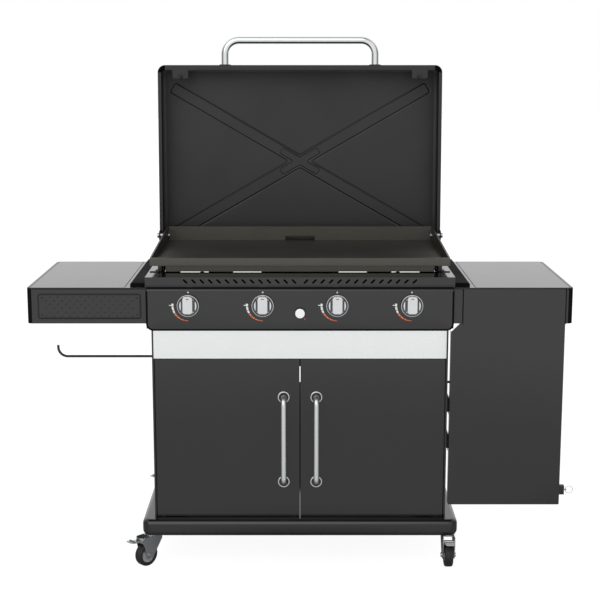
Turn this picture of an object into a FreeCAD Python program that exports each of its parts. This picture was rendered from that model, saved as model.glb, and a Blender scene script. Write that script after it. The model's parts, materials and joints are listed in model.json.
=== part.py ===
import FreeCAD, Part
import math
import os

# Outdoor gas griddle station: a wheeled cabinet that carries a fire box, a griddle plate and a hinged lid.
# Sizes are in millimetres. X runs to the right, Y from the front to the back, Z up from the floor.
# The sizes below are given from the cabinet's centre line (X), the shelves' front edge (Y) and the floor (Z).

# Sheets and clearances; a cutter runs past the face that it opens by OVER
SHEET = 1.2
TRAY_SHEET = 1.5
GRIDDLE_WALL = 5.0
RUNNING_FIT = 0.05
AIR_GAP = 0.3
HEM = 15.0
OVER = 1.0

# Cabinet
CABINET_HALF = 455.0
CABINET_FRONT = 36.0
CABINET_DEPTH = 604.0
SIDE_STRIP = 5.5
SIDE_LIP = 4.0
CABINET_HEIGHT = 609.0
HEADER_HEIGHT = 100.0
BACK_PANEL_HEIGHT = 263.0
BACK_RAIL_HEIGHT = 112.0
SHELF_RISE = 286.0
SHELF_RIM = 22.0
SHELF_SET = 9.0
DOOR_GAP = 3.0
DOOR_TOP_GAP = 2.0
DOOR_DEPTH = 18.0
HINGE_PIN_R = 3.0
HINGE_PIN_INSET = 21.0
HINGE_PIN_REACH = 4.0
HINGE_FLANGE_R = 7.0
HINGE_FLANGE_THICK = 3.0
MAGNET_START = 8.0
MAGNET_WIDTH = 30.0
MAGNET_DEPTH = 18.0
MAGNET_HEIGHT = 14.0

# Base tray
TRAY_OVERHANG = 37.4
TRAY_BEHIND = 100.0
TRAY_LOW = 101.0
TRAY_HEIGHT = 53.0
TRAY_CORNER = 30.0
TRAY_BULLNOSE = 16.0
TRAY_LIP = 26.0
GUSSET_SIDE = 90.0
GUSSET_SHEET = 3.0
GUSSET_CORNER = 16.0

# Door handles
DOOR_HANDLE_X = 50.5
DOOR_HANDLE_DROP = 119.5
DOOR_HANDLE_SPAN = 271.5
DOOR_HANDLE_R = 8.75
DOOR_HANDLE_OUT = 35.0
DOOR_HANDLE_BEND = 20.0
DOOR_BEZEL_R = 18.5
BEZEL_THICK = 4.0

# Side shelves and the plate on the left one
WING_WIDTH = 360.0
WING_DEPTH = 526.0
WING_APRON = 109.0
WING_CORNER = 15.0
GROOVE_WIDTH = 2.0
GROOVE_EDGE = 7.0
GROOVE_CORNER = 9.0
GROOVE_DEPTH = 0.7
TOOL_REST_WIDTH = 50.0
TOOL_REST_HEIGHT = 9.0
TOOL_REST_ROUND = 5.4
TOOL_REST_START = 40.0
APRON_PLATE_INSET = 13.0
APRON_PLATE_END = 28.5
APRON_PLATE_DROP = 17.0
APRON_PLATE_HEIGHT = 78.0
APRON_PLATE_CORNER = 4.0
APRON_SCREW_R = 4.0
APRON_SCREW_HEAD = 2.0
APRON_SCREW_INSET = 14.0

# Fire box and vent rim
FIREBOX_OVERHANG = 11.0
FIREBOX_INSET = 4.0
FIREBOX_FLOOR_RISE = 37.0
INNER_WALL_SET = 24.0
RIM_FRONT = -5.0
RIM_HEIGHT = 32.5
RIM_SIDE = 27.0
RIM_INNER_SET = 12.0
RIM_INNER_CORNER = 12.0
REAR_SLOT_WIDTH = 98.0
REAR_SLOT_RISE = 64.0
REAR_SLOT_HEIGHT = 20.0
REAR_SLOT_PITCH = 184.0
VENT_COUNT = 14
VENT_FIRST = 18.0
VENT_PITCH = 25.2
VENT_LENGTH = 17.5
VENT_WIDTH = 5.5
VENT_LEAN = 44.0
VENT_DROP = 11.5

# Control panel, knobs and igniter
PANEL_FRONT = -12.0
PANEL_BACK = 6.0
PANEL_HEIGHT = 126.0
PANEL_DROP = 4.5
PANEL_CORNER = 22.0
PANEL_ROLL = 7.0
KNOB_SET = 129.0
KNOB_RISE = 75.3
KNOB_SKIRT_R = 34.0
KNOB_SKIRT_DEPTH = 9.0
KNOB_SKIRT_ROUND = 2.5
KNOB_GRIP_WIDTH = 31.0
KNOB_GRIP_HEIGHT = 54.0
KNOB_GRIP_OUT = 17.0
KNOB_GRIP_CORNER = 9.3
KNOB_GRIP_ROUND = 4.0
KNOB_PUSH = 4.0
KNOB_CLEAR = 1.0
STEM_R = 4.0
STEM_HOLE_GAP = 3.0
STEM_IN_KNOB = 2.0
STEM_IN_VALVE = 12.0
IGNITER_RISE = 51.0
IGNITER_R = 15.0
IGNITER_ROUND = 2.0
IGNITER_BEZEL_R = 19.0
IGNITER_BEZEL_THICK = 2.0
IGNITER_OUT = 8.0
IGNITER_IN = 12.0
IGNITER_WEB = 3.0
IGNITER_PUSH = 3.5

# Gas train
VALVE_FRONT = 8.0
VALVE_SIDE = 30.0
VALVE_DEPTH = 32.0
VALVE_NIPPLE_R = 5.0
VALVE_NIPPLE_DEPTH = 5.0
JET_R = 5.0
JET_GAP = 6.0
MANIFOLD_R = 10.0
MANIFOLD_WALL = 2.0
MANIFOLD_END = 6.0
INLET_R = 8.0
INLET_LENGTH = 17.5
INLET_START = 4.5
INLET_PIPE_R = 7.0
INLET_BORE_R = 5.5
INLET_Y = 48.0
INLET_RUN = 22.0
INLET_BEND = 16.0
INLET_BORE = 30.0
BURNER_R = 16.0
BURNER_RISE = -8.0
BURNER_START = 4.0
BURNER_END_GAP = 58.8
BURNER_CAP = 3.0
BURNER_STUB_R = 5.0
ELECTRODE_SET = 80.0
ELECTRODE_LENGTH = 30.0
ELECTRODE_WIDTH = 14.0
ELECTRODE_BASE = 4.0
ELECTRODE_SINK = 1.0
ELECTRODE_R = 3.5
ELECTRODE_HEIGHT = 16.0

# Griddle plate and its posts
GRIDDLE_INSET = 6.5
GRIDDLE_FRONT_SET = 7.0
GRIDDLE_BACK_SET = 9.0
POST_HEIGHT = 22.3
LIP_RISE = 20.0
LIP_HEM = 21.0
WALL_RISE = 47.0
LIP_CORNER = 12.0
GREASE_SLOT = 101.0
GREASE_SLOT_HEIGHT = 14.0
CHUTE_WALL = 3.0
CHUTE_MARGIN = 4.0
CHUTE_LENGTH = 24.0
SPOUT_HALF = 24.0
SPOUT_RISE = 24.0
SKIRT_MARGIN = 46.5
SKIRT_HEIGHT = 19.5
SKIRT_SHEET = 3.0
SKIRT_SET = 18.0
POST_X_SET = 29.5
POST_R = 9.0
POST_FRONT_SET = 43.0
POST_BACK_SET = 37.0
POST_FOOT = 32.0
POST_FOOT_INNER = 14.0
POST_FOOT_THICK = 3.0
LIFT_TRAVEL = 60.0

# Lid: heights and lengths in its closed pose are measured from the hinge
HINGE_SET = 15.0
HINGE_RISE = 17.0
LID_OPEN = 93.0
LID_OVERHANG = 27.5
LID_FRONT_OVERHANG = 36.5
LID_TAIL = 80.0
LID_RIM = 26.0
LID_HEIGHT = 105.0
LID_CORNER = 25.0
LID_TOP_ROUND = 18.0
LID_HEM = 11.5
LID_FRONT_HEM = 16.0
LID_ARM_WIDTH = 37.0
LID_ARM_SIDE = 41.0
LID_ARM_END = 73.0
LID_ARM_RAISE = 2.0
LID_ARM_CORNER = 8.0
LID_CROSS_LENGTH = 150.0
LID_CROSS_WIDTH = 21.0
EAR_WIDTH = 34.0
EAR_DROP = 16.0
EAR_RISE = 20.0
EAR_SHEET = 3.0
BOLT_R = 4.0
BOLT_NUT_R = 8.0
BOLT_NUT_DEPTH = 5.0
BOLT_HEAD_R = 9.0
BOLT_HEAD_DEPTH = 6.0
REST_TAB_INSET = 77.0
REST_TAB_WIDTH = 53.0
REST_TAB_LENGTH = 44.0
REST_TAB_SHEET = 2.0
REST_TAB_CORNER = 6.0
BUMPER_R = 6.0
LID_HANDLE_HALF = 259.0
LID_HANDLE_OUT = 86.5
LID_HANDLE_R = 12.5
LID_HANDLE_BEND = 48.0
LID_BEZEL_R = 20.0

# Grease cup and its bracket
CUP_WIDTH = 110.0
CUP_DEPTH = 74.0
CUP_HEIGHT = 90.0
CUP_DROP = 19.0
CUP_SET = 16.0
CUP_WALL = 1.5
CUP_CORNER = 8.0
CUP_FLANGE = 10.0
CUP_FLANGE_INSET = 8.0
RAIL_SHEET = 2.0
RAIL_WIDTH = 13.0
RAIL_HEIGHT = 12.0
RAIL_END = 4.0
BRACKET_MARGIN = 20.0
BRACKET_DROP = 40.0

# Casters; a fork's own frame has its swivel axis at X 0 and its trail along X
CASTER_INSET = 27.4
CASTER_FRONT = 40.0
CASTER_BEHIND = 40.0
CASTER_STEM_R = 6.0
WHEEL_R = 37.0
WHEEL_WIDTH = 27.0
TYRE_ROUND = 6.0
HUB_FACE_R = 25.0
HUB_DISH = 4.0
HUB_R = 10.0
CASTER_TRAIL = 26.0
RACE_R = 23.0
RACE_LOW = 98.0
CROWN_HEIGHT = 14.0
FORK_SHEET = 3.0
FORK_GAP = 3.0
FORK_MARGIN = 11.0
AXLE_R = 4.0
AXLE_HEAD_R = 7.0
AXLE_HEAD_DEPTH = 4.0
SWIVEL_PIN_R = 5.0
PEDAL_WIDTH = 30.0
PEDAL_LENGTH = 54.0
PEDAL_SHEET = 2.5
PEDAL_BACK = 14.0
PEDAL_DROP = 14.0
PEDAL_TILT = 9.0
PEDAL_PIN_R = 3.0
PEDAL_BARREL_R = 6.0
PEDAL_CORNER = 6.0
PEDAL_RIB = 16.0
PEDAL_RIB_HEIGHT = 6.0
PEDAL_PAD_HALF = 4.0
PEDAL_PAD_DROP = 9.0
PEDAL_PAD_INSET = 5.0
TURNED_TRAIL = -135.0
STRAIGHT_TRAIL = -90.0

# Towel rod
TOWEL_Y = 240.0
TOWEL_DROP = 39.0
TOWEL_R = 4.0
TOWEL_LENGTH = 328.0
TOWEL_RISE = 37.0
TOWEL_BEND = 30.0
TOWEL_FLANGE_R = 12.0
TOWEL_FLANGE_THICK = 3.0

# Tank cover, its straps, the tank's hanger and the spring plunger
COVER_RISE = 53.0
COVER_SET = 3.5
COVER_TOP_SET = 3.0
COVER_END = 22.5
COVER_NECK_SET = 34.5
COVER_NECK_DROP = 8.5
COVER_CORNER = 3.0
COVER_RETURN = 24.0
STRAP_RISES = (216.0, 333.0)
STRAP_HEIGHT = 53.0
STRAP_SHEET = 2.0
STRAP_LENGTH = 105.0
STRAP_SET = 4.0
STRAP_FOOT_FRONT = 62.0
STRAP_FOOT_BACK = 110.0
HANGER_RISE = 377.0
HANGER_R = 4.0
HANGER_BEND = 16.0
HANGER_PAD_R = 15.0
HANGER_PAD_THICK = 3.0
HANGER_Y = 270.0
HANGER_HOOK = 34.0
HANGER_LENGTH = 185.0
PLUNGER_RISE = 44.5
PLUNGER_R = 3.0
PLUNGER_BLOCK = 16.0
PLUNGER_BLOCK_HALF_Y = 8.0
PLUNGER_BLOCK_HALF_Z = 14.0
PLUNGER_TAIL = 24.0
PLUNGER_TRAVEL = 7.0
EYE_SET = 5.0
EYE_R = 4.2
EYE_HALF = 1.25
PULL_RING_R = 11.25
PULL_WIRE_R = 1.0

# Places worked out from the sizes above
TRAY_HALF = CABINET_HALF + TRAY_OVERHANG
TRAY_TOP = TRAY_LOW + TRAY_HEIGHT
CABINET_BACK = CABINET_FRONT + CABINET_DEPTH
TRAY_BACK = CABINET_BACK + TRAY_BEHIND
HEADER_TOP = TRAY_TOP + CABINET_HEIGHT
HEADER_LOW = HEADER_TOP - HEADER_HEIGHT
DOOR_TOP = HEADER_LOW - DOOR_TOP_GAP
DOOR_LOW = TRAY_TOP + DOOR_GAP
DOOR_BACK = CABINET_FRONT + DOOR_DEPTH
SIDE_FRONT = DOOR_BACK + DOOR_GAP
FRONT_HALF = CABINET_HALF - SIDE_STRIP
PIN_X = FRONT_HALF - HINGE_PIN_INSET
PIN_Y = CABINET_FRONT + DOOR_DEPTH / 2
BACK_PANEL_LOW = HEADER_TOP - BACK_PANEL_HEIGHT
SHELF_TOP = TRAY_TOP + SHELF_RISE
DOOR_HANDLE_TOP = DOOR_TOP - DOOR_HANDLE_DROP
DOOR_HANDLE_LOW = DOOR_HANDLE_TOP - DOOR_HANDLE_SPAN
DOOR_HANDLE_Y = CABINET_FRONT - DOOR_HANDLE_OUT
FIREBOX_HALF = CABINET_HALF + FIREBOX_OVERHANG
FIREBOX_BACK = CABINET_BACK - FIREBOX_INSET
FIREBOX_FLOOR = HEADER_TOP + FIREBOX_FLOOR_RISE
WING_TOP = HEADER_TOP + PANEL_HEIGHT
WING_LOW = WING_TOP - WING_APRON
WING_OUTER = FIREBOX_HALF + WING_WIDTH
FIREBOX_TOP = WING_TOP + RIM_HEIGHT
RIM_TOP = FIREBOX_TOP + SHEET
INNER_FRONT = CABINET_FRONT + INNER_WALL_SET
KNOB_OUTER_X = FIREBOX_HALF - KNOB_SET
KNOB_INNER_X = KNOB_OUTER_X / 3
KNOB_X = (-KNOB_OUTER_X, -KNOB_INNER_X, KNOB_INNER_X, KNOB_OUTER_X)
KNOB_Z = HEADER_TOP + KNOB_RISE
IGNITER_Z = HEADER_TOP + IGNITER_RISE
SKIRT_BACK = PANEL_FRONT - KNOB_PUSH - KNOB_CLEAR
SKIRT_FRONT = SKIRT_BACK - KNOB_SKIRT_DEPTH
KNOB_FRONT = SKIRT_FRONT - KNOB_GRIP_OUT
STEM_TIP = SKIRT_FRONT + STEM_IN_KNOB
STEM_BACK = VALVE_FRONT + STEM_IN_VALVE
MANIFOLD_Y = VALVE_FRONT + VALVE_DEPTH / 2
MANIFOLD_Z = KNOB_Z - VALVE_SIDE / 2 - MANIFOLD_R
INLET_END = FIREBOX_HALF + INLET_START + INLET_LENGTH
BURNER_Z = KNOB_Z + BURNER_RISE
GRIDDLE_HALF = FIREBOX_HALF - GRIDDLE_INSET
GRIDDLE_INNER = GRIDDLE_HALF - GRIDDLE_WALL
GRIDDLE_FRONT = INNER_FRONT + GRIDDLE_FRONT_SET
GRIDDLE_BACK = FIREBOX_BACK - GRIDDLE_BACK_SET
GRIDDLE_LOW = RIM_TOP + POST_HEIGHT
COOK_SURFACE = GRIDDLE_LOW + GRIDDLE_WALL
LIP_TOP = COOK_SURFACE + LIP_RISE
WALL_TOP = COOK_SURFACE + WALL_RISE
SPOUT_FRONT = FIREBOX_BACK + CUP_SET
CUP_START = SPOUT_FRONT
CUP_TOP = WING_TOP - CUP_DROP
CHUTE_BACK = CUP_START + CHUTE_LENGTH
HINGE_Y = GRIDDLE_BACK - HINGE_SET
HINGE_Z = COOK_SURFACE + HINGE_RISE
LID_HALF = GRIDDLE_HALF + LID_OVERHANG
LID_REACH = HINGE_Y - GRIDDLE_FRONT + LID_FRONT_OVERHANG
LID_LEAF = LID_RIM + LID_HEIGHT
BUMPER_FOOT = LIP_TOP + AIR_GAP - HINGE_Z
BUMPER_Y = GRIDDLE_FRONT + GRIDDLE_WALL / 2 - HINGE_Y
CASTER_X = TRAY_HALF - CASTER_INSET
CASTER_BACK = TRAY_BACK - CASTER_BEHIND
FORK_TOP = RACE_LOW - AIR_GAP
FORK_FACE = WHEEL_WIDTH / 2 + FORK_GAP
FORK_HALF = FORK_FACE + FORK_SHEET
PEDAL_X = CASTER_TRAIL + PEDAL_BACK
PEDAL_Z = FORK_TOP - PEDAL_DROP
TOWEL_Z = HEADER_LOW - TOWEL_DROP
TOWEL_END = CABINET_HALF + TOWEL_LENGTH - TOWEL_R
COVER_LEFT = CABINET_HALF + COVER_SET
COVER_NECK = COVER_LEFT + COVER_NECK_SET
COVER_RIGHT = WING_OUTER - COVER_END
COVER_LOW = TRAY_TOP + COVER_RISE
COVER_TOP = WING_TOP - COVER_TOP_SET
COVER_NECK_Z = HEADER_TOP - COVER_NECK_DROP
COVER_BACK = COVER_RETURN - SHEET
HANGER_Z = TRAY_TOP + HANGER_RISE
HANGER_REACH = CABINET_HALF + HANGER_LENGTH
PLUNGER_Y = COVER_RETURN / 2
PLUNGER_Z = COVER_LOW + PLUNGER_RISE
PLUNGER_EYE = COVER_RIGHT + PLUNGER_BLOCK + EYE_SET
RING_X = PLUNGER_EYE + PULL_RING_R
CASTERS = {
    "front_left": (-CASTER_X, CASTER_FRONT, TURNED_TRAIL),
    "front_right": (CASTER_X, CASTER_FRONT, STRAIGHT_TRAIL),
    "rear_left": (-CASTER_X, CASTER_BACK, TURNED_TRAIL),
    "rear_right": (CASTER_X, CASTER_BACK, STRAIGHT_TRAIL),
}

# The part's origin: under the middle of its outline with the lid open, on the floor
OPEN_ANGLE = math.radians(LID_OPEN)
LID_REAR_AT_OPEN = HINGE_Y + LID_LEAF * math.sin(OPEN_ANGLE) - LID_REACH * math.cos(OPEN_ANGLE)
PEDAL_REACH = PEDAL_X + PEDAL_LENGTH * math.cos(math.radians(PEDAL_TILT))
PEDAL_TIP_FRONT = CASTER_FRONT - PEDAL_REACH * math.sin(math.radians(-STRAIGHT_TRAIL))
CENTRE_X = (RING_X + PULL_RING_R + PULL_WIRE_R - WING_OUTER) / 2
CENTRE_Y = (LID_REAR_AT_OPEN + PEDAL_TIP_FRONT) / 2

PLANES = {
    "xy": (FreeCAD.Vector(1, 0, 0), FreeCAD.Vector(0, 1, 0), FreeCAD.Vector(0, 0, 1)),
    "xz": (FreeCAD.Vector(1, 0, 0), FreeCAD.Vector(0, 0, 1), FreeCAD.Vector(0, 1, 0)),
    "yz": (FreeCAD.Vector(0, 1, 0), FreeCAD.Vector(0, 0, 1), FreeCAD.Vector(1, 0, 0)),
}
X_AXIS, Y_AXIS, Z_AXIS = PLANES["xy"]


def vector(x, y, z):
    return FreeCAD.Vector(x, y, z)


def block(x0, x1, y0, y1, z0, z1):
    """Solid box between two opposite corners, given in any order."""
    low = vector(min(x0, x1), min(y0, y1), min(z0, z1))
    return Part.makeBox(abs(x1 - x0), abs(y1 - y0), abs(z1 - z0), low)


def rod(start, end, radius):
    """Round bar from one point to another."""
    run = end - start
    return Part.makeCylinder(radius, run.Length, start, run)


def x_rod(x0, x1, y, z, radius):
    """Round bar along X."""
    return rod(vector(x0, y, z), vector(x1, y, z), radius)


def y_rod(x, y0, y1, z, radius):
    """Round bar along Y."""
    return rod(vector(x, y0, z), vector(x, y1, z), radius)


def z_rod(x, y, z0, z1, radius):
    """Round bar along Z."""
    return rod(vector(x, y, z0), vector(x, y, z1), radius)


def join(solids):
    """One solid from pieces that touch or overlap."""
    whole = solids[0].fuse(solids[1:]) if len(solids) > 1 else solids[0]
    return whole.removeSplitter()


def group(solids):
    """Several separate solids kept together."""
    return Part.makeCompound(solids)


def corner_points(before, corner, after, radius):
    """Start, middle and end of the arc that rounds a corner."""
    to_before = (before - corner).normalize()
    to_after = (after - corner).normalize()
    half = to_before.getAngle(to_after) / 2
    back = radius / math.tan(half)
    middle_line = (to_before + to_after).normalize()
    middle = corner + middle_line * (radius / math.sin(half) - radius)
    return corner + to_before * back, middle, corner + to_after * back


def rounded_edges(corners, radii, closed):
    """Straight runs through the corners, with an arc at each corner whose radius isn't zero."""
    count = len(corners)
    edges = []
    last = None
    first = None
    for i in range(count):
        inside = closed or 0 < i < count - 1
        if inside and radii[i] > 0:
            start, middle, end = corner_points(corners[i - 1], corners[i], corners[(i + 1) % count], radii[i])
        else:
            start, middle, end = corners[i], None, corners[i]
        if last is not None and (start - last).Length > 1e-6:
            edges.append(Part.LineSegment(last, start).toShape())
        if middle is not None:
            edges.append(Part.Arc(start, middle, end).toShape())
        first = first if first is not None else start
        last = end
    if closed and (first - last).Length > 1e-6:
        edges.append(Part.LineSegment(last, first).toShape())
    return edges


def prism(points, plane, low, high):
    """Solid with an outline of (u, v) or (u, v, radius) corners in a plane, between two heights on its normal."""
    along_u, along_v, normal = PLANES[plane]
    corners = [along_u * p[0] + along_v * p[1] + normal * low for p in points]
    radii = [p[2] if len(p) > 2 else 0 for p in points]
    face = Part.Face(Part.Wire(rounded_edges(corners, radii, True)))
    return face.extrude(normal * (high - low))


def rectangle(u0, u1, v0, v1, radii=(0, 0, 0, 0)):
    """Corners of a rectangle; radii go round from the low-low corner: low-low, high-low, high-high, low-high."""
    return [(u0, v0, radii[0]), (u1, v0, radii[1]), (u1, v1, radii[2]), (u0, v1, radii[3])]


def tube(points, radius, bend):
    """Round bar bent along straight runs, with every corner at one bend radius."""
    edges = rounded_edges(points, [bend] * len(points), False)
    path = Part.Wire(edges)
    section = Part.Wire(Part.makeCircle(radius, points[0], points[1] - points[0]))
    return path.makePipeShell([section], True, False)


def mirrored(shape):
    """The same piece on the other side of the centre line."""
    return shape.mirror(vector(0, 0, 0), X_AXIS)


def rounded(solid, radius, chosen):
    """Rounds the edges whose bounding box the given test picks."""
    return solid.makeFillet(radius, [e for e in solid.Edges if chosen(e.BoundBox)])


def flat_round(solid, height, radius):
    """Rounds every edge of a solid that lies flat at one height."""
    return rounded(solid, radius, lambda box: abs(box.ZMin - height) < 1e-4 and abs(box.ZMax - height) < 1e-4)


def front_round(solid, front, radius):
    """Rounds every edge of a solid that lies in its front face."""
    return rounded(solid, radius, lambda box: box.YMax < front + 1e-3)


# Base tray and casters

def tray_form(inset):
    corners = (TRAY_CORNER - inset,) * 4
    outline = rectangle(-TRAY_HALF + inset, TRAY_HALF - inset, inset, TRAY_BACK - inset, corners)
    low = TRAY_LOW + inset
    top = TRAY_TOP - inset
    form = prism(outline, "xy", low, top)
    form = flat_round(form, low, TRAY_BULLNOSE - inset)
    return flat_round(form, top, TRAY_BULLNOSE - inset)


def base_tray():
    """Sheet tray whose rim is rolled round, open below inside a lip."""
    corners = (TRAY_CORNER - TRAY_BULLNOSE,) * 4
    mouth = rectangle(-TRAY_HALF + TRAY_LIP, TRAY_HALF - TRAY_LIP, TRAY_LIP, TRAY_BACK - TRAY_LIP, corners)
    low = TRAY_LOW - OVER
    high = TRAY_LOW + TRAY_SHEET + OVER
    tray = tray_form(0).cut(tray_form(TRAY_SHEET)).cut(prism(mouth, "xy", low, high))
    for x, y, turn in CASTERS.values():
        tray = tray.cut(z_rod(x, y, low, high, CASTER_STEM_R + RUNNING_FIT))
    return tray


def caster_plate(x, y):
    """Corner gusset inside the tray with the caster's stem and fixed upper race below it."""
    side = 1 if x > 0 else -1
    front = y < TRAY_BACK / 2
    x_out = side * (TRAY_HALF - TRAY_BULLNOSE)
    x_in = x_out - side * GUSSET_SIDE
    y_out = TRAY_BULLNOSE if front else TRAY_BACK - TRAY_BULLNOSE
    y_in = y_out + GUSSET_SIDE if front else y_out - GUSSET_SIDE
    deck = TRAY_LOW + TRAY_SHEET
    corners = (GUSSET_CORNER,) * 4
    outline = rectangle(min(x_out, x_in), max(x_out, x_in), min(y_out, y_in), max(y_out, y_in), corners)
    plate = prism(outline, "xy", deck, deck + GUSSET_SHEET)
    stem = z_rod(x, y, TRAY_LOW - OVER, deck + OVER, CASTER_STEM_R)
    race = z_rod(x, y, RACE_LOW, TRAY_LOW, RACE_R)
    bore = z_rod(x, y, RACE_LOW - OVER, deck + AIR_GAP, SWIVEL_PIN_R + RUNNING_FIT)
    return join([plate, stem, race]).cut(bore)


def fork_leg(side):
    """One side plate of the fork."""
    inner = side * FORK_FACE
    outer = side * FORK_HALF
    front = -RACE_R - OVER
    rear = PEDAL_X + PEDAL_BARREL_R + FORK_SHEET
    low = WHEEL_R - FORK_MARGIN
    small = FORK_SHEET + OVER
    outline = [
        (front, FORK_TOP, small),
        (rear, FORK_TOP, small),
        (rear, PEDAL_Z - PEDAL_BARREL_R, PEDAL_BARREL_R),
        (CASTER_TRAIL + FORK_MARGIN, low, FORK_MARGIN - OVER),
        (CASTER_TRAIL - FORK_MARGIN, low, FORK_MARGIN - OVER),
        (front, FORK_TOP - CROWN_HEIGHT, PEDAL_BARREL_R),
    ]
    return prism(outline, "xz", min(inner, outer), max(inner, outer))


def fork():
    """Fork with its swivel pin, axle with a head at each end, and the pedal's pin."""
    crown = block(-RACE_R - OVER, RACE_R, -FORK_HALF, FORK_HALF, FORK_TOP - FORK_SHEET, FORK_TOP)
    pin = z_rod(0, 0, FORK_TOP - OVER, TRAY_LOW + TRAY_SHEET, SWIVEL_PIN_R)
    end = FORK_HALF + AXLE_HEAD_DEPTH
    axle = y_rod(CASTER_TRAIL, -end, end, WHEEL_R, AXLE_R)
    heads = [y_rod(CASTER_TRAIL, side * FORK_HALF, side * end, WHEEL_R, AXLE_HEAD_R) for side in (-1, 1)]
    pedal_pin = y_rod(PEDAL_X, -FORK_HALF, FORK_HALF, PEDAL_Z, PEDAL_PIN_R)
    return join([crown, fork_leg(-1), fork_leg(1), pin, axle, pedal_pin] + heads)


def wheel():
    """Tyre with rounded shoulders on a recessed hub, bored for the axle."""
    half = WHEEL_WIDTH / 2
    tyre = y_rod(CASTER_TRAIL, -half, half, WHEEL_R, WHEEL_R)
    tyre = rounded(tyre, TYRE_ROUND, lambda box: box.YLength < 1e-3)
    for side in (-1, 1):
        face = side * (half + OVER)
        tyre = tyre.cut(y_rod(CASTER_TRAIL, face, side * (half - HUB_DISH), WHEEL_R, HUB_FACE_R))
    boss = half + FORK_GAP - AIR_GAP
    hub = y_rod(CASTER_TRAIL, -boss, boss, WHEEL_R, HUB_R)
    return join([tyre, hub]).cut(y_rod(CASTER_TRAIL, -boss - OVER, boss + OVER, WHEEL_R, AXLE_R + RUNNING_FIT))


def pedal():
    """Foot lever that rises from a barrel, with a brake pad above the tyre and a rib across its tip."""
    half = PEDAL_WIDTH / 2
    low = PEDAL_Z - PEDAL_SHEET / 2
    tip = PEDAL_X + PEDAL_LENGTH
    barrel = y_rod(PEDAL_X, -half, half, PEDAL_Z, PEDAL_BARREL_R)
    outline = rectangle(PEDAL_X, tip, -half, half, (0, PEDAL_CORNER, PEDAL_CORNER, 0))
    plate = prism(outline, "xy", low, low + PEDAL_SHEET)
    rib = block(tip - PEDAL_RIB, tip - PEDAL_RIB + PEDAL_SHEET, -half, half, low, low + PEDAL_RIB_HEIGHT)
    inner = half - PEDAL_PAD_INSET
    pad = block(PEDAL_X - PEDAL_PAD_HALF, PEDAL_X + PEDAL_PAD_HALF, -inner, inner, PEDAL_Z - PEDAL_PAD_DROP, PEDAL_Z)
    bore = y_rod(PEDAL_X, -half - OVER, half + OVER, PEDAL_Z, PEDAL_PIN_R + RUNNING_FIT)
    lever = join([plate, rib])
    lever.rotate(vector(PEDAL_X, 0, PEDAL_Z), Y_AXIS, -PEDAL_TILT)
    return join([barrel, lever, pad]).cut(bore)


def on_caster(shape, place):
    """A caster piece turned to its trail direction and put under its corner."""
    x, y, turn = place
    placed = shape.copy()
    placed.rotate(vector(0, 0, 0), Z_AXIS, turn)
    placed.translate(vector(x, y, 0))
    return placed


# Cabinet

def cabinet_side():
    """Right side sheet with a narrow channel folded along its front and a flange turned in at its back and top."""
    inner = CABINET_HALF - SHEET
    lip = CABINET_HALF - HEM
    web = FRONT_HALF + SHEET
    back = CABINET_BACK - SHEET
    return join([
        block(inner, CABINET_HALF, CABINET_FRONT, CABINET_BACK, TRAY_TOP, HEADER_TOP),
        block(FRONT_HALF, CABINET_HALF, CABINET_FRONT, CABINET_FRONT + SHEET, TRAY_TOP, HEADER_TOP),
        block(FRONT_HALF, web, CABINET_FRONT, SIDE_FRONT + SHEET, TRAY_TOP, HEADER_TOP),
        block(FRONT_HALF - SIDE_LIP, web, SIDE_FRONT, SIDE_FRONT + SHEET, TRAY_TOP, HEADER_TOP),
        block(lip, CABINET_HALF, back, CABINET_BACK, TRAY_TOP, HEADER_TOP),
        block(lip, CABINET_HALF, SIDE_FRONT, CABINET_BACK, HEADER_TOP - SHEET, HEADER_TOP),
    ])


def cabinet_back():
    """Upper back panel and a low rail on the tray, each folded forward along its free edge."""
    half = CABINET_HALF - SHEET
    face = CABINET_BACK - SHEET
    panel = block(-half, half, face - SHEET, face, BACK_PANEL_LOW, HEADER_TOP - SHEET)
    fold = block(-half, half, face - HEM, face, BACK_PANEL_LOW, BACK_PANEL_LOW + SHEET)
    rail_top = TRAY_TOP + BACK_RAIL_HEIGHT
    rail = block(-half, half, face - SHEET, face, TRAY_TOP, rail_top)
    rail_fold = block(-half, half, face - HEM, face, rail_top - SHEET, rail_top)
    return group([join([panel, fold]), join([rail, rail_fold])])


def cabinet_shelf():
    """Mid shelf with its front and back edges folded down."""
    half = CABINET_HALF - SHEET
    front = SIDE_FRONT + SHELF_SET
    back = CABINET_BACK - SHEET
    deck = block(-half, half, front, back, SHELF_TOP - SHEET, SHELF_TOP)
    front_rim = block(-half, half, front, front + SHEET, SHELF_TOP - SHELF_RIM, SHELF_TOP)
    back_rim = block(-half, half, back - SHEET, back, SHELF_TOP - SHELF_RIM, SHELF_TOP)
    return join([deck, front_rim, back_rim])


def front_header():
    """Stainless strip above the doors, folded back on all four sides."""
    outer = block(-FRONT_HALF, FRONT_HALF, CABINET_FRONT, SIDE_FRONT, HEADER_LOW, HEADER_TOP)
    inner = FRONT_HALF - SHEET
    hollow = block(-inner, inner, CABINET_FRONT + SHEET, SIDE_FRONT + OVER, HEADER_LOW + SHEET, HEADER_TOP - SHEET)
    header = outer.cut(hollow)
    for side in (-1, 1):
        top = HEADER_LOW + SHEET + OVER
        header = header.cut(z_rod(side * PIN_X, PIN_Y, HEADER_LOW - OVER, top, HINGE_PIN_R + RUNNING_FIT))
    return header


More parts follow.
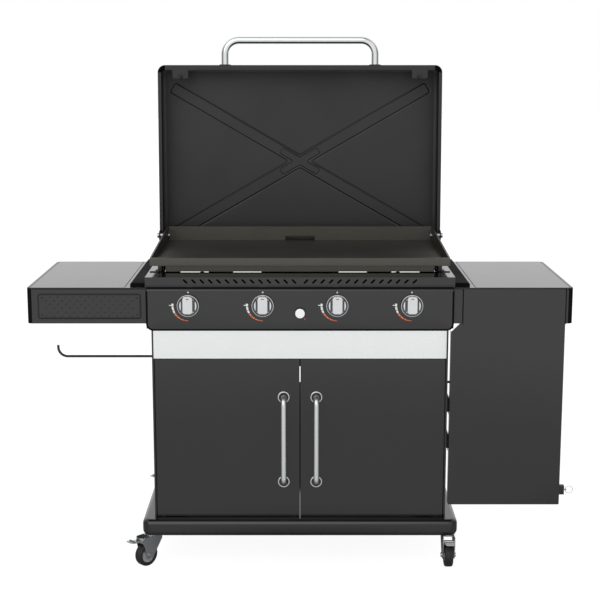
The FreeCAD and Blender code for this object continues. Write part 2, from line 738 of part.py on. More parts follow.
def door_hinge_pins():
    """Upper pins hung in the header and lower pins standing on the tray, one pair for each door."""
    pins = []
    for side in (-1, 1):
        x = side * PIN_X
        seat = HEADER_LOW + SHEET
        upper = z_rod(x, PIN_Y, DOOR_TOP - HINGE_PIN_REACH, seat + OVER, HINGE_PIN_R)
        upper_flange = z_rod(x, PIN_Y, seat, seat + HINGE_FLANGE_THICK, HINGE_FLANGE_R)
        lower = z_rod(x, PIN_Y, TRAY_TOP, DOOR_LOW + HINGE_PIN_REACH, HINGE_PIN_R)
        lower_flange = z_rod(x, PIN_Y, TRAY_TOP, DOOR_LOW - AIR_GAP, HINGE_FLANGE_R)
        pins.append(join([upper, upper_flange]))
        pins.append(join([lower, lower_flange]))
    return group(pins)


def door_magnets():
    """Two magnet catches under the header, just behind the doors' free edges."""
    front = DOOR_BACK + AIR_GAP
    catches = []
    for side in (-1, 1):
        inner = side * MAGNET_START
        outer = inner + side * MAGNET_WIDTH
        catches.append(block(inner, outer, front, front + MAGNET_DEPTH, HEADER_LOW - MAGNET_HEIGHT, HEADER_LOW))
    return group(catches)


def door():
    """Right door: a pan open at the back with a hem, bored for its two hinge pins."""
    x0 = DOOR_GAP / 2
    x1 = FRONT_HALF - DOOR_GAP
    outer = block(x0, x1, CABINET_FRONT, DOOR_BACK, DOOR_LOW, DOOR_TOP)
    low = DOOR_LOW + SHEET
    top = DOOR_TOP - SHEET
    hollow = block(x0 + SHEET, x1 - SHEET, CABINET_FRONT + SHEET, DOOR_BACK - SHEET, low, top)
    mouth = block(x0 + HEM, x1 - HEM, DOOR_BACK - SHEET - OVER, DOOR_BACK + OVER, DOOR_LOW + HEM, DOOR_TOP - HEM)
    panel = outer.cut(hollow).cut(mouth)
    return panel.cut(z_rod(PIN_X, PIN_Y, DOOR_LOW - OVER, DOOR_TOP + OVER, HINGE_PIN_R + RUNNING_FIT))


def door_handle():
    """Upright tube handle of the right door, on a round bezel at each end."""
    x = DOOR_HANDLE_X
    low = DOOR_HANDLE_LOW
    top = DOOR_HANDLE_TOP
    path = [
        vector(x, CABINET_FRONT, top),
        vector(x, DOOR_HANDLE_Y, top),
        vector(x, DOOR_HANDLE_Y, low),
        vector(x, CABINET_FRONT, low),
    ]
    bezels = [y_rod(x, CABINET_FRONT - BEZEL_THICK, CABINET_FRONT, z, DOOR_BEZEL_R) for z in (low, top)]
    return join([tube(path, DOOR_HANDLE_R, DOOR_HANDLE_BEND)] + bezels)


# Side shelves and their fittings

def wing_outline(inset):
    corner = WING_CORNER - inset
    return rectangle(
        FIREBOX_HALF + inset, WING_OUTER - inset, inset, WING_DEPTH - inset, (0, corner, corner, 0)
    )


def panel_line(inset):
    """Area of the shelf's raised centre panel, made smaller by an inset, as a shallow cutter."""
    x0 = FIREBOX_HALF + RIM_SIDE / 2 + TOOL_REST_WIDTH + inset
    x1 = WING_OUTER - GROOVE_EDGE - inset
    corners = (GROOVE_CORNER - inset,) * 4
    outline = rectangle(x0, x1, GROOVE_EDGE + inset, WING_DEPTH - GROOVE_EDGE - inset, corners)
    return prism(outline, "xy", WING_TOP - GROOVE_DEPTH, WING_TOP + OVER)


def wing():
    """Right side shelf: a pan turned upside down, with an inner wall, a bottom hem and a grooved top."""
    pan = prism(wing_outline(0), "xy", WING_LOW, WING_TOP)
    pan = pan.cut(prism(wing_outline(SHEET), "xy", WING_LOW + SHEET, WING_TOP - SHEET))
    pan = pan.cut(prism(wing_outline(HEM), "xy", WING_LOW - OVER, WING_LOW + SHEET + OVER))
    return pan.cut(panel_line(0).cut(panel_line(GROOVE_WIDTH)))


def tool_rests():
    """Raised bar with a rounded top beside the griddle, on each shelf."""
    x0 = FIREBOX_HALF + SHEET + AIR_GAP
    top = WING_TOP + TOOL_REST_HEIGHT
    rest = block(x0, x0 + TOOL_REST_WIDTH, TOOL_REST_START, WING_DEPTH, WING_TOP, top)
    rest = flat_round(rest, top, TOOL_REST_ROUND)
    return group([rest, mirrored(rest)])


def apron_plate():
    """Plate on the left shelf's apron with a round screw head at each corner."""
    left = -WING_OUTER + APRON_PLATE_END
    right = -FIREBOX_HALF - APRON_PLATE_INSET
    top = WING_TOP - APRON_PLATE_DROP
    low = top - APRON_PLATE_HEIGHT
    plate = prism(rectangle(left, right, low, top, (APRON_PLATE_CORNER,) * 4), "xz", -SHEET, 0)
    inset = APRON_SCREW_INSET
    screws = [
        y_rod(x, -SHEET - APRON_SCREW_HEAD, -SHEET, z, APRON_SCREW_R)
        for x in (left + inset, right - inset)
        for z in (low + inset, top - inset)
    ]
    return join([plate] + screws)


def towel_rod():
    """Rod out of the cabinet's left side, bent up at its end, with a wall flange."""
    path = [
        vector(-CABINET_HALF, TOWEL_Y, TOWEL_Z),
        vector(-TOWEL_END, TOWEL_Y, TOWEL_Z),
        vector(-TOWEL_END, TOWEL_Y, TOWEL_Z + TOWEL_RISE),
    ]
    flange = x_rod(-CABINET_HALF, -CABINET_HALF - TOWEL_FLANGE_THICK, TOWEL_Y, TOWEL_Z, TOWEL_FLANGE_R)
    return join([tube(path, TOWEL_R, TOWEL_BEND), flange])


def tank_cover():
    """Flat cover panel on the right shelf's apron, with a stepped upper left corner and returned lower edges."""
    step_z = COVER_NECK_Z + COVER_NECK_SET
    outline = [
        (COVER_LEFT, COVER_LOW, COVER_CORNER),
        (COVER_RIGHT, COVER_LOW, COVER_CORNER),
        (COVER_RIGHT, COVER_TOP),
        (COVER_NECK, COVER_TOP),
        (COVER_NECK, step_z),
        (COVER_LEFT, COVER_NECK_Z),
    ]
    face = prism(outline, "xz", -SHEET, 0)
    low = COVER_LOW + COVER_CORNER
    left = block(COVER_LEFT, COVER_LEFT + SHEET, -SHEET, COVER_BACK, low, COVER_NECK_Z)
    right = block(COVER_RIGHT - SHEET, COVER_RIGHT, -SHEET, COVER_BACK, low, WING_LOW)
    hole = x_rod(COVER_RIGHT - SHEET - OVER, COVER_RIGHT + OVER, PLUNGER_Y, PLUNGER_Z, PLUNGER_R + RUNNING_FIT)
    return join([face, left, right]).cut(hole)


def tank_strap(rise):
    """Strap from behind the cover to a foot on the cabinet's side, clear of the door's swing."""
    low = TRAY_TOP + rise
    top = low + STRAP_HEIGHT
    web = CABINET_HALF + STRAP_SET
    bar = block(web, CABINET_HALF + STRAP_LENGTH, COVER_BACK, COVER_BACK + STRAP_SHEET, low, top)
    leg = block(web, web + STRAP_SHEET, COVER_BACK, STRAP_FOOT_BACK, low, top)
    foot = block(CABINET_HALF, web + STRAP_SHEET, STRAP_FOOT_FRONT, STRAP_FOOT_BACK, low, top)
    return join([bar, leg, foot])


def tank_hanger():
    """Rod out of the cabinet's side with a turned-up end, that the gas tank's collar hangs on."""
    path = [
        vector(CABINET_HALF, HANGER_Y, HANGER_Z),
        vector(HANGER_REACH, HANGER_Y, HANGER_Z),
        vector(HANGER_REACH, HANGER_Y, HANGER_Z + HANGER_HOOK),
    ]
    pad = x_rod(CABINET_HALF, CABINET_HALF + HANGER_PAD_THICK, HANGER_Y, HANGER_Z, HANGER_PAD_R)
    return join([tube(path, HANGER_R, HANGER_BEND), pad])


def tank_bracket():
    """Two straps that tie the cover to the cabinet's side, and the rod that the gas tank hangs on."""
    return group([tank_strap(rise) for rise in STRAP_RISES] + [tank_hanger()])


def plunger_housing():
    """Block on the cover's right edge that guides the spring plunger."""
    end = COVER_RIGHT + PLUNGER_BLOCK
    low = PLUNGER_Z - PLUNGER_BLOCK_HALF_Z
    top = PLUNGER_Z + PLUNGER_BLOCK_HALF_Z
    body = block(COVER_RIGHT, end, PLUNGER_Y - PLUNGER_BLOCK_HALF_Y, PLUNGER_Y + PLUNGER_BLOCK_HALF_Y, low, top)
    return body.cut(x_rod(COVER_RIGHT - OVER, end + OVER, PLUNGER_Y, PLUNGER_Z, PLUNGER_R + RUNNING_FIT))


def plunger_pin():
    """Plunger with its tail inside the cover and a flat eye for its ring."""
    shank = x_rod(COVER_RIGHT - PLUNGER_TAIL, PLUNGER_EYE, PLUNGER_Y, PLUNGER_Z, PLUNGER_R)
    eye = z_rod(PLUNGER_EYE, PLUNGER_Y, PLUNGER_Z - EYE_HALF, PLUNGER_Z + EYE_HALF, EYE_R)
    hole = z_rod(PLUNGER_EYE, PLUNGER_Y, PLUNGER_Z - EYE_R, PLUNGER_Z + EYE_R, PULL_WIRE_R + AIR_GAP)
    for side in (-1, 1):
        flat = PLUNGER_Z + side * EYE_HALF
        end = flat + side * PLUNGER_R
        x0 = PLUNGER_EYE - EYE_R
        shank = shank.cut(block(x0, PLUNGER_EYE + OVER, PLUNGER_Y - EYE_R, PLUNGER_Y + EYE_R, flat, end))
    return join([shank, eye]).cut(hole)


def pull_ring():
    """Wire ring through the plunger's eye."""
    return Part.makeTorus(PULL_RING_R, PULL_WIRE_R, vector(RING_X, PLUNGER_Y, PLUNGER_Z), Y_AXIS)


# Fire box, vent rim and control panel

def inlet_hole():
    """Cutter for the hole that the gas inlet passes through."""
    run = INLET_PIPE_R + SHEET
    return x_rod(FIREBOX_HALF - run, FIREBOX_HALF + run, INLET_Y, MANIFOLD_Z, INLET_PIPE_R + RUNNING_FIT)


def firebox_shell():
    """Side walls, slotted rear wall and inner front wall, on a bottom flange that stands on the cabinet."""
    half = FIREBOX_HALF
    low = HEADER_TOP
    lip = CABINET_HALF - HEM
    walls = []
    for side in (-1, 1):
        walls.append(block(side * half, side * (half - SHEET), PANEL_BACK, FIREBOX_BACK, low, FIREBOX_TOP))
        walls.append(block(side * half, side * lip, PANEL_BACK, FIREBOX_BACK, low, low + SHEET))
    walls.append(block(-half, half, FIREBOX_BACK - SHEET, FIREBOX_BACK, low, FIREBOX_TOP))
    walls.append(block(-half, half, INNER_FRONT, INNER_FRONT + SHEET, low, FIREBOX_TOP))
    walls.append(block(-half, half, PANEL_BACK, INNER_FRONT, low, low + SHEET))
    shell = join(walls).cut(inlet_hole())
    slot_low = HEADER_TOP + REAR_SLOT_RISE
    slot_top = slot_low + REAR_SLOT_HEIGHT
    for n in (-2, -1, 1, 2):
        x0 = n * REAR_SLOT_PITCH - REAR_SLOT_WIDTH / 2
        x1 = x0 + REAR_SLOT_WIDTH
        shell = shell.cut(block(x0, x1, FIREBOX_BACK - SHEET - OVER, FIREBOX_BACK + OVER, slot_low, slot_top))
    for x in KNOB_X:
        shell = shell.cut(y_rod(x, INNER_FRONT - OVER, INNER_FRONT + SHEET + OVER, BURNER_Z, BURNER_R + RUNNING_FIT))
    return shell


def firebox_floor():
    """Heat shield across the fire box below the burners, with its edges folded down."""
    half = FIREBOX_HALF - SHEET
    front = INNER_FRONT + SHEET
    back = FIREBOX_BACK - SHEET
    deck = block(-half, half, front, back, FIREBOX_FLOOR, FIREBOX_FLOOR + SHEET)
    edges = [
        block(side * half, side * (half - SHEET), front, back, FIREBOX_FLOOR - HEM, FIREBOX_FLOOR)
        for side in (-1, 1)
    ]
    return join([deck] + edges)


def vent_slot(x, z, lean):
    """Cutter for one slanted slot with round ends in the rim's front skirt."""
    half = VENT_LENGTH / 2
    ends = (VENT_WIDTH / 2,) * 4
    outline = rectangle(-half, half, -VENT_WIDTH / 2, VENT_WIDTH / 2, ends)
    slot = prism(outline, "xz", RIM_FRONT - OVER, RIM_FRONT + SHEET + OVER)
    slot.rotate(vector(0, 0, 0), Y_AXIS, lean)
    slot.translate(vector(x, 0, z))
    return slot


def vent_rim():
    """Frame round the top of the fire box, with a row of slanted slots on each half of its front skirt."""
    half = FIREBOX_HALF + SHEET
    back = FIREBOX_BACK + SHEET
    side = half - RIM_SIDE
    corners = (RIM_INNER_CORNER,) * 4
    opening = rectangle(-side, side, INNER_FRONT + RIM_INNER_SET, back - RIM_SIDE, corners)
    top = block(-half, half, RIM_FRONT, back, FIREBOX_TOP, RIM_TOP)
    pieces = [
        top.cut(prism(opening, "xy", FIREBOX_TOP - OVER, RIM_TOP + OVER)),
        block(-half, half, RIM_FRONT, RIM_FRONT + SHEET, WING_TOP, FIREBOX_TOP),
        block(-half, half, back - SHEET, back, WING_TOP, FIREBOX_TOP),
        block(-half, -half + SHEET, RIM_FRONT, back, WING_TOP, FIREBOX_TOP),
        block(half - SHEET, half, RIM_FRONT, back, WING_TOP, FIREBOX_TOP),
    ]
    middle_z = FIREBOX_TOP - VENT_DROP
    slots = [
        vent_slot(side * (VENT_FIRST + VENT_PITCH * k), middle_z, -side * VENT_LEAN)
        for side in (-1, 1)
        for k in range(VENT_COUNT)
    ]
    return join(pieces).cut(group(slots))


def control_panel():
    """Front pan with rounded lower corners and rolled edges, open at the back, with holes for what passes it."""
    def outline(inset):
        half = FIREBOX_HALF - inset
        corner = PANEL_CORNER - inset
        low = HEADER_TOP - PANEL_DROP + inset
        return rectangle(-half, half, low, WING_TOP - inset, (corner, corner, 0, 0))

    front = PANEL_FRONT - OVER
    back = PANEL_FRONT + SHEET + OVER
    pan = front_round(prism(outline(0), "xz", PANEL_FRONT, PANEL_BACK), PANEL_FRONT, PANEL_ROLL)
    inside = prism(outline(SHEET), "xz", PANEL_FRONT + SHEET, PANEL_BACK + OVER)
    pan = pan.cut(front_round(inside, PANEL_FRONT + SHEET, PANEL_ROLL - SHEET))
    for x in KNOB_X:
        pan = pan.cut(y_rod(x, front, back, KNOB_Z, STEM_R + STEM_HOLE_GAP))
    return pan.cut(y_rod(0, front, back, IGNITER_Z, IGNITER_R + SHEET + RUNNING_FIT))


# Gas train, knobs and igniter

def gas_manifold():
    """Pipe along the back of the panel with a port under each valve, and its inlet nipple on the right."""
    start = KNOB_X[0] - VALVE_SIDE
    stop = KNOB_X[-1] + VALVE_SIDE
    bend = stop + INLET_RUN
    seat = FIREBOX_HALF + INLET_START
    path = [
        vector(stop - OVER, MANIFOLD_Y, MANIFOLD_Z),
        vector(bend, MANIFOLD_Y, MANIFOLD_Z),
        vector(bend + INLET_Y - MANIFOLD_Y, INLET_Y, MANIFOLD_Z),
        vector(seat + OVER, INLET_Y, MANIFOLD_Z),
    ]
    pipe = x_rod(start, stop, MANIFOLD_Y, MANIFOLD_Z, MANIFOLD_R)
    hollow = x_rod(
        start + MANIFOLD_END, stop - MANIFOLD_END, MANIFOLD_Y, MANIFOLD_Z, MANIFOLD_R - MANIFOLD_WALL
    )
    nipple = x_rod(seat, INLET_END, INLET_Y, MANIFOLD_Z, INLET_R)
    mouth = x_rod(INLET_END - INLET_BORE, INLET_END + OVER, INLET_Y, MANIFOLD_Z, INLET_BORE_R)
    pipe = join([pipe.cut(hollow), tube(path, INLET_PIPE_R, INLET_BEND), nipple]).cut(mouth)
    for x in KNOB_X:
        top = MANIFOLD_Z + MANIFOLD_R + OVER
        pipe = pipe.cut(z_rod(x, MANIFOLD_Y, MANIFOLD_Z, top, VALVE_NIPPLE_R + RUNNING_FIT))
    return pipe


def gas_valve(x):
    """Valve body with a nipple in the manifold, a jet at the back and a bore for its stem."""
    half = VALVE_SIDE / 2
    body = block(x - half, x + half, VALVE_FRONT, VALVE_FRONT + VALVE_DEPTH, KNOB_Z - half, KNOB_Z + half)
    nipple = z_rod(x, MANIFOLD_Y, MANIFOLD_Z + VALVE_NIPPLE_DEPTH, KNOB_Z, VALVE_NIPPLE_R)
    jet = y_rod(x, MANIFOLD_Y, INNER_FRONT - JET_GAP, BURNER_Z, JET_R)
    bore = y_rod(x, VALVE_FRONT - OVER, STEM_BACK + KNOB_PUSH + OVER, KNOB_Z, STEM_R + RUNNING_FIT)
    return join([body, nipple, jet]).cut(bore)


def valve_stem(x):
    """Shaft from inside the valve to inside the knob."""
    return y_rod(x, STEM_BACK, STEM_TIP, KNOB_Z, STEM_R)


def knob(x):
    """Round skirt with a rounded grip across it and a blind bore for the stem."""
    skirt = y_rod(x, SKIRT_BACK, SKIRT_FRONT, KNOB_Z, KNOB_SKIRT_R)
    skirt = front_round(skirt, SKIRT_FRONT, KNOB_SKIRT_ROUND)
    half_w = KNOB_GRIP_WIDTH / 2
    half_h = KNOB_GRIP_HEIGHT / 2
    outline = rectangle(x - half_w, x + half_w, KNOB_Z - half_h, KNOB_Z + half_h, (KNOB_GRIP_CORNER,) * 4)
    grip = prism(outline, "xz", KNOB_FRONT, SKIRT_FRONT)
    grip = front_round(grip, KNOB_FRONT, KNOB_GRIP_ROUND)
    return join([skirt, grip]).cut(y_rod(x, SKIRT_BACK + OVER, STEM_TIP - AIR_GAP, KNOB_Z, STEM_R + RUNNING_FIT))


def igniter_housing():
    """Push-button housing in the panel with a bezel in front."""
    bezel_front = PANEL_FRONT - IGNITER_BEZEL_THICK
    end = MANIFOLD_Y - MANIFOLD_R - IGNITER_BEZEL_THICK
    bezel = y_rod(0, bezel_front, PANEL_FRONT, IGNITER_Z, IGNITER_BEZEL_R)
    barrel = y_rod(0, PANEL_FRONT, end, IGNITER_Z, IGNITER_R + SHEET)
    bore = y_rod(0, bezel_front - OVER, end - IGNITER_WEB, IGNITER_Z, IGNITER_R + RUNNING_FIT)
    return join([bezel, barrel]).cut(bore)


def spark_electrode(x):
    """Electrode on a saddle that sits on a burner."""
    start = INNER_FRONT + ELECTRODE_SET
    stop = start + ELECTRODE_LENGTH
    foot = BURNER_Z + BURNER_R - ELECTRODE_SINK
    half = ELECTRODE_WIDTH / 2
    base = block(x - half, x + half, start, stop, foot, foot + ELECTRODE_BASE)
    post = z_rod(x, (start + stop) / 2, foot + OVER, foot + ELECTRODE_HEIGHT, ELECTRODE_R)
    return join([base, post]).cut(y_rod(x, start - OVER, stop + OVER, BURNER_Z, BURNER_R + RUNNING_FIT))


def igniter_button():
    """Round push button with a softened front edge."""
    front = PANEL_FRONT - IGNITER_OUT
    button = y_rod(0, PANEL_FRONT + IGNITER_IN, front, IGNITER_Z, IGNITER_R)
    return front_round(button, front, IGNITER_ROUND)


def burner_tube(x):
    """Pipe burner open at the front, closed at the back by a stub that stands on the rear wall."""
    start = INNER_FRONT - BURNER_START
    stop = FIREBOX_BACK - BURNER_END_GAP
    outer = y_rod(x, start, stop, BURNER_Z, BURNER_R)
    inner = y_rod(x, start - OVER, stop - BURNER_CAP, BURNER_Z, BURNER_R - SHEET)
    stub = y_rod(x, stop, FIREBOX_BACK - SHEET, BURNER_Z, BURNER_STUB_R)
    return join([outer.cut(inner), stub])


# Griddle plate, its posts and hinge bolts

def griddle_posts():
    """Four levelling posts on feet, standing on the rim and carrying the griddle plate."""
    posts = []
    for side in (-1, 1):
        x = side * (GRIDDLE_HALF - POST_X_SET)
        for y in (GRIDDLE_FRONT + POST_FRONT_SET, GRIDDLE_BACK - POST_BACK_SET):
            inner = x - side * POST_FOOT_INNER
            half = POST_FOOT / 2
            foot = block(inner, x + side * POST_FOOT, y - half, y + half, RIM_TOP, RIM_TOP + POST_FOOT_THICK)
            posts.append(join([foot, z_rod(x, y, RIM_TOP, GRIDDLE_LOW, POST_R)]))
    return group(posts)


def grease_outlet():
    """Solid form of the chute behind the rear wall and its spout, and the cutter for the way through both."""
    half = GREASE_SLOT / 2
    outer = half + CHUTE_MARGIN
    inner = outer - CHUTE_WALL
    top = COOK_SURFACE + GREASE_SLOT_HEIGHT
    spout_inner = SPOUT_HALF - CHUTE_WALL
    spout_front = SPOUT_FRONT + CHUTE_WALL
    form = join([
        block(-outer, outer, GRIDDLE_BACK, CHUTE_BACK, GRIDDLE_LOW - OVER, top),
        block(-SPOUT_HALF, SPOUT_HALF, spout_front, CHUTE_BACK, CUP_TOP + SPOUT_RISE, GRIDDLE_LOW),
    ])
    way = join([
        block(-inner, inner, GRIDDLE_BACK, CHUTE_BACK - CHUTE_WALL, COOK_SURFACE - OVER, WALL_TOP),
        block(-spout_inner, spout_inner, spout_front + CHUTE_WALL, CHUTE_BACK - CHUTE_WALL, CUP_TOP, COOK_SURFACE),
    ])
    slot = block(-half, half, GRIDDLE_BACK - 2 * GRIDDLE_WALL, GRIDDLE_BACK + OVER, COOK_SURFACE, top)
    return form.cut(way), slot


def griddle_plate():
    """Steel cooking plate with a low front lip, sloping sides, a rear wall with its grease chute, and a skirt."""
    half = GRIDDLE_HALF
    front = GRIDDLE_FRONT + GRIDDLE_WALL
    rear = GRIDDLE_BACK - GRIDDLE_WALL
    side_outline = [(front, GRIDDLE_LOW), (GRIDDLE_BACK, GRIDDLE_LOW), (GRIDDLE_BACK, WALL_TOP), (front, LIP_TOP)]
    hem_outline = rectangle(-half, half, LIP_TOP - LIP_HEM, LIP_TOP, (LIP_CORNER, LIP_CORNER, 0, 0))
    skirt_half = GRIDDLE_HALF - SKIRT_MARGIN
    skirt_y = GRIDDLE_FRONT + SKIRT_SET
    outlet, slot = grease_outlet()
    plate = join([
        block(-half, half, front, GRIDDLE_BACK, GRIDDLE_LOW, COOK_SURFACE),
        block(-half, half, front, front + GRIDDLE_WALL, GRIDDLE_LOW, LIP_TOP),
        prism(hem_outline, "xz", GRIDDLE_FRONT, front),
        block(-half, half, rear, GRIDDLE_BACK, GRIDDLE_LOW, WALL_TOP),
        prism(side_outline, "yz", -half, -GRIDDLE_INNER),
        prism(side_outline, "yz", GRIDDLE_INNER, half),
        block(-skirt_half, skirt_half, skirt_y, skirt_y + SKIRT_SHEET, GRIDDLE_LOW - SKIRT_HEIGHT, GRIDDLE_LOW),
        outlet,
    ])
    plate = plate.cut(slot)
    for side in (-1, 1):
        inner = side * (GRIDDLE_INNER - OVER)
        outer = side * (half + OVER)
        plate = plate.cut(x_rod(inner, outer, HINGE_Y, HINGE_Z, BOLT_R + RUNNING_FIT))
    return plate


def hinge_bolts():
    """Bolt, inner nut, spacer and outer head at each side, on which the lid's ears turn."""
    ear_in = LID_HALF - SHEET - EAR_SHEET
    head_in = LID_HALF - SHEET + AIR_GAP
    head_out = head_in + BOLT_HEAD_DEPTH
    nut_in = GRIDDLE_INNER - BOLT_NUT_DEPTH
    bolt = join([
        x_rod(nut_in, head_out, HINGE_Y, HINGE_Z, BOLT_R),
        x_rod(nut_in, GRIDDLE_INNER, HINGE_Y, HINGE_Z, BOLT_NUT_R),
        x_rod(GRIDDLE_HALF, ear_in - AIR_GAP, HINGE_Y, HINGE_Z, BOLT_NUT_R),
        x_rod(head_in, head_out, HINGE_Y, HINGE_Z, BOLT_HEAD_R),
    ])
    return group([bolt, mirrored(bolt)])


# Grease cup and its bracket

def grease_cup():
    """Open cup with a flange along each side that hangs on the bracket's rails."""
    half = CUP_WIDTH / 2
    low = CUP_TOP - CUP_HEIGHT
    back = CUP_START + CUP_DEPTH
    wall = CUP_WALL
    outer = prism(rectangle(-half, half, CUP_START, back, (CUP_CORNER,) * 4), "xy", low, CUP_TOP)
    inside = rectangle(-half + wall, half - wall, CUP_START + wall, back - wall, (CUP_CORNER - wall,) * 4)
    front = CUP_START + CUP_FLANGE_INSET
    end = back - CUP_FLANGE_INSET
    flanges = [
        block(side * (half - OVER), side * (half + CUP_FLANGE), front, end, CUP_TOP - wall, CUP_TOP)
        for side in (-1, 1)
    ]
    return join([outer] + flanges).cut(prism(inside, "xy", low + wall, CUP_TOP + OVER))


def grease_bracket():
    """Plate on the fire box's rear wall with two rails below the cup's flanges."""
    half = CUP_WIDTH / 2
    top = CUP_TOP - CUP_WALL
    end = CUP_START + CUP_DEPTH - RAIL_END
    plate_half = half + BRACKET_MARGIN
    plate_top = WING_TOP - RAIL_SHEET
    pieces = [
        block(-plate_half, plate_half, FIREBOX_BACK, FIREBOX_BACK + RAIL_SHEET, top - BRACKET_DROP, plate_top)
    ]
    for side in (-1, 1):
        inner = side * (half + AIR_GAP)
        outer = inner + side * RAIL_WIDTH
        web = outer - side * RAIL_SHEET
        pieces.append(block(inner, outer, FIREBOX_BACK, end, top - RAIL_SHEET, top))
        pieces.append(block(web, outer, FIREBOX_BACK, end, top - RAIL_HEIGHT, top))
    return join(pieces)


# Lid: every piece is made in the closed pose about the hinge and then opened

def opened(shape):
    """A lid piece turned from closed to open and put on the hinge."""
    turned = shape.copy()
    turned.rotate(vector(0, 0, 0), X_AXIS, -LID_OPEN)
    turned.translate(vector(0, HINGE_Y, HINGE_Z))
    return turned


def lid_outline(inset, back):
    """The lid from above: round front corners, square at the back."""
    corner = LID_CORNER - inset
    return rectangle(-LID_HALF + inset, LID_HALF - inset, -LID_REACH + inset, back, (corner, corner, 0, 0))


def lid_form(inset, low):
    """The lid's outer form made smaller by an inset, longer than the lid at its back."""
    back = LID_TAIL + LID_TOP_ROUND + LID_CORNER
    top = LID_LEAF - inset
    form = prism(lid_outline(inset, back), "xy", low, top)

    def on_top(box):
        return abs(box.ZMin - top) < 1e-4 and box.ZLength < 1e-3 and box.YMin < back - OVER

    return rounded(form, LID_TOP_ROUND - inset, on_top)


def lid_arm(length, width, raise_by, turn):
    """One arm of the raised cross inside the lid's leaf."""
    leaf = LID_LEAF - SHEET
    outline = rectangle(-length / 2, length / 2, -width / 2, width / 2, (LID_ARM_CORNER,) * 4)
    arm = prism(outline, "xy", leaf - raise_by, leaf + SHEET / 2)
    arm.rotate(vector(0, 0, 0), Z_AXIS, turn)
    arm.translate(vector(0, (LID_TAIL - LID_REACH) / 2, 0))
    return arm


def lid_cross():
    """Two long arms from corner to corner with a smaller cross raised over their middle."""
    reach_x = LID_HALF - LID_ARM_SIDE
    reach_y = (LID_TAIL + LID_REACH) / 2 - LID_ARM_END
    length = 2 * math.hypot(reach_x, reach_y)
    lean = math.degrees(math.atan2(reach_y, reach_x))
    arms = []
    for turn in (lean, -lean):
        arms.append(lid_arm(length, LID_ARM_WIDTH, LID_ARM_RAISE, turn))
        arms.append(lid_arm(LID_CROSS_LENGTH, LID_CROSS_WIDTH, 2 * LID_ARM_RAISE, turn))
    return arms


def lid_ear(side):
    """Ear inside the lid's side that turns on the hinge bolt."""
    outer = side * (LID_HALF - SHEET)
    inner = outer - side * EAR_SHEET
    half = EAR_WIDTH / 2
    top = LID_RIM + EAR_RISE
    outline = [(-half, top), (half, top), (half, -EAR_DROP, half - OVER), (-half, -EAR_DROP, half - OVER)]
    ear = prism(outline, "yz", min(inner, outer), max(inner, outer))
    return ear.cut(x_rod(inner - side * OVER, outer + side * OVER, 0, 0, BOLT_R + RUNNING_FIT))


def rest_tab(side):
    """Tab inside the lid's front wall that carries a bumper."""
    x = side * (LID_HALF - REST_TAB_INSET)
    half = REST_TAB_WIDTH / 2
    front = -LID_REACH + SHEET
    corners = (0, 0, REST_TAB_CORNER, REST_TAB_CORNER)
    outline = rectangle(x - half, x + half, front, front + REST_TAB_LENGTH, corners)
    return prism(outline, "xy", LID_RIM, LID_RIM + REST_TAB_SHEET)


def lid_shell():
    """Deep pressed lid, open at its back, with a hem along each rim, hinge ears, a raised cross and rest tabs."""
    shell = lid_form(0, LID_RIM).cut(lid_form(SHEET, LID_RIM - OVER))
    past = LID_TAIL + LID_CORNER
    half = LID_HALF - LID_HEM
    mouth = rectangle(-half, half, -LID_REACH + LID_FRONT_HEM, past + OVER)
    hem = prism(lid_outline(0, past), "xy", LID_RIM, LID_RIM + SHEET)
    hem = hem.cut(prism(mouth, "xy", LID_RIM - OVER, LID_RIM + SHEET + OVER))
    for side in (-1, 1):
        inner = side * (LID_HALF - LID_CORNER)
        outer = side * (LID_HALF - SHEET)
        notch = block(inner, outer, -LID_REACH + SHEET, -LID_REACH + LID_CORNER, LID_RIM - OVER, LID_RIM + SHEET)
        hem = hem.cut(notch)
    behind = block(
        -LID_HALF - OVER, LID_HALF + OVER, LID_TAIL, past + LID_CORNER, LID_RIM - OVER, LID_LEAF + OVER
    )
    pieces = [shell.fuse(hem).cut(behind)] + lid_cross()
    for side in (-1, 1):
        pieces.append(lid_ear(side))
        pieces.append(rest_tab(side))
    return opened(join(pieces))


def lid_bumpers():
    """Rubber bumper under each rest tab, which meets the griddle's front lip when the lid is closed."""
    bumpers = [
        z_rod(side * (LID_HALF - REST_TAB_INSET), BUMPER_Y, LID_RIM, BUMPER_FOOT, BUMPER_R) for side in (-1, 1)
    ]
    return opened(group(bumpers))


def lid_handle():
    """Tube handle across the lid's front, on a round bezel at each end."""
    wall = -LID_REACH
    out = wall - LID_HANDLE_OUT
    z = LID_RIM + LID_HEIGHT / 2
    path = [
        vector(-LID_HANDLE_HALF, wall, z),
        vector(-LID_HANDLE_HALF, out, z),
        vector(LID_HANDLE_HALF, out, z),
        vector(LID_HANDLE_HALF, wall, z),
    ]
    bezels = [y_rod(side * LID_HANDLE_HALF, wall - BEZEL_THICK, wall, z, LID_BEZEL_R) for side in (-1, 1)]
    return opened(join([tube(path, LID_HANDLE_R, LID_HANDLE_BEND)] + bezels))


# All pieces

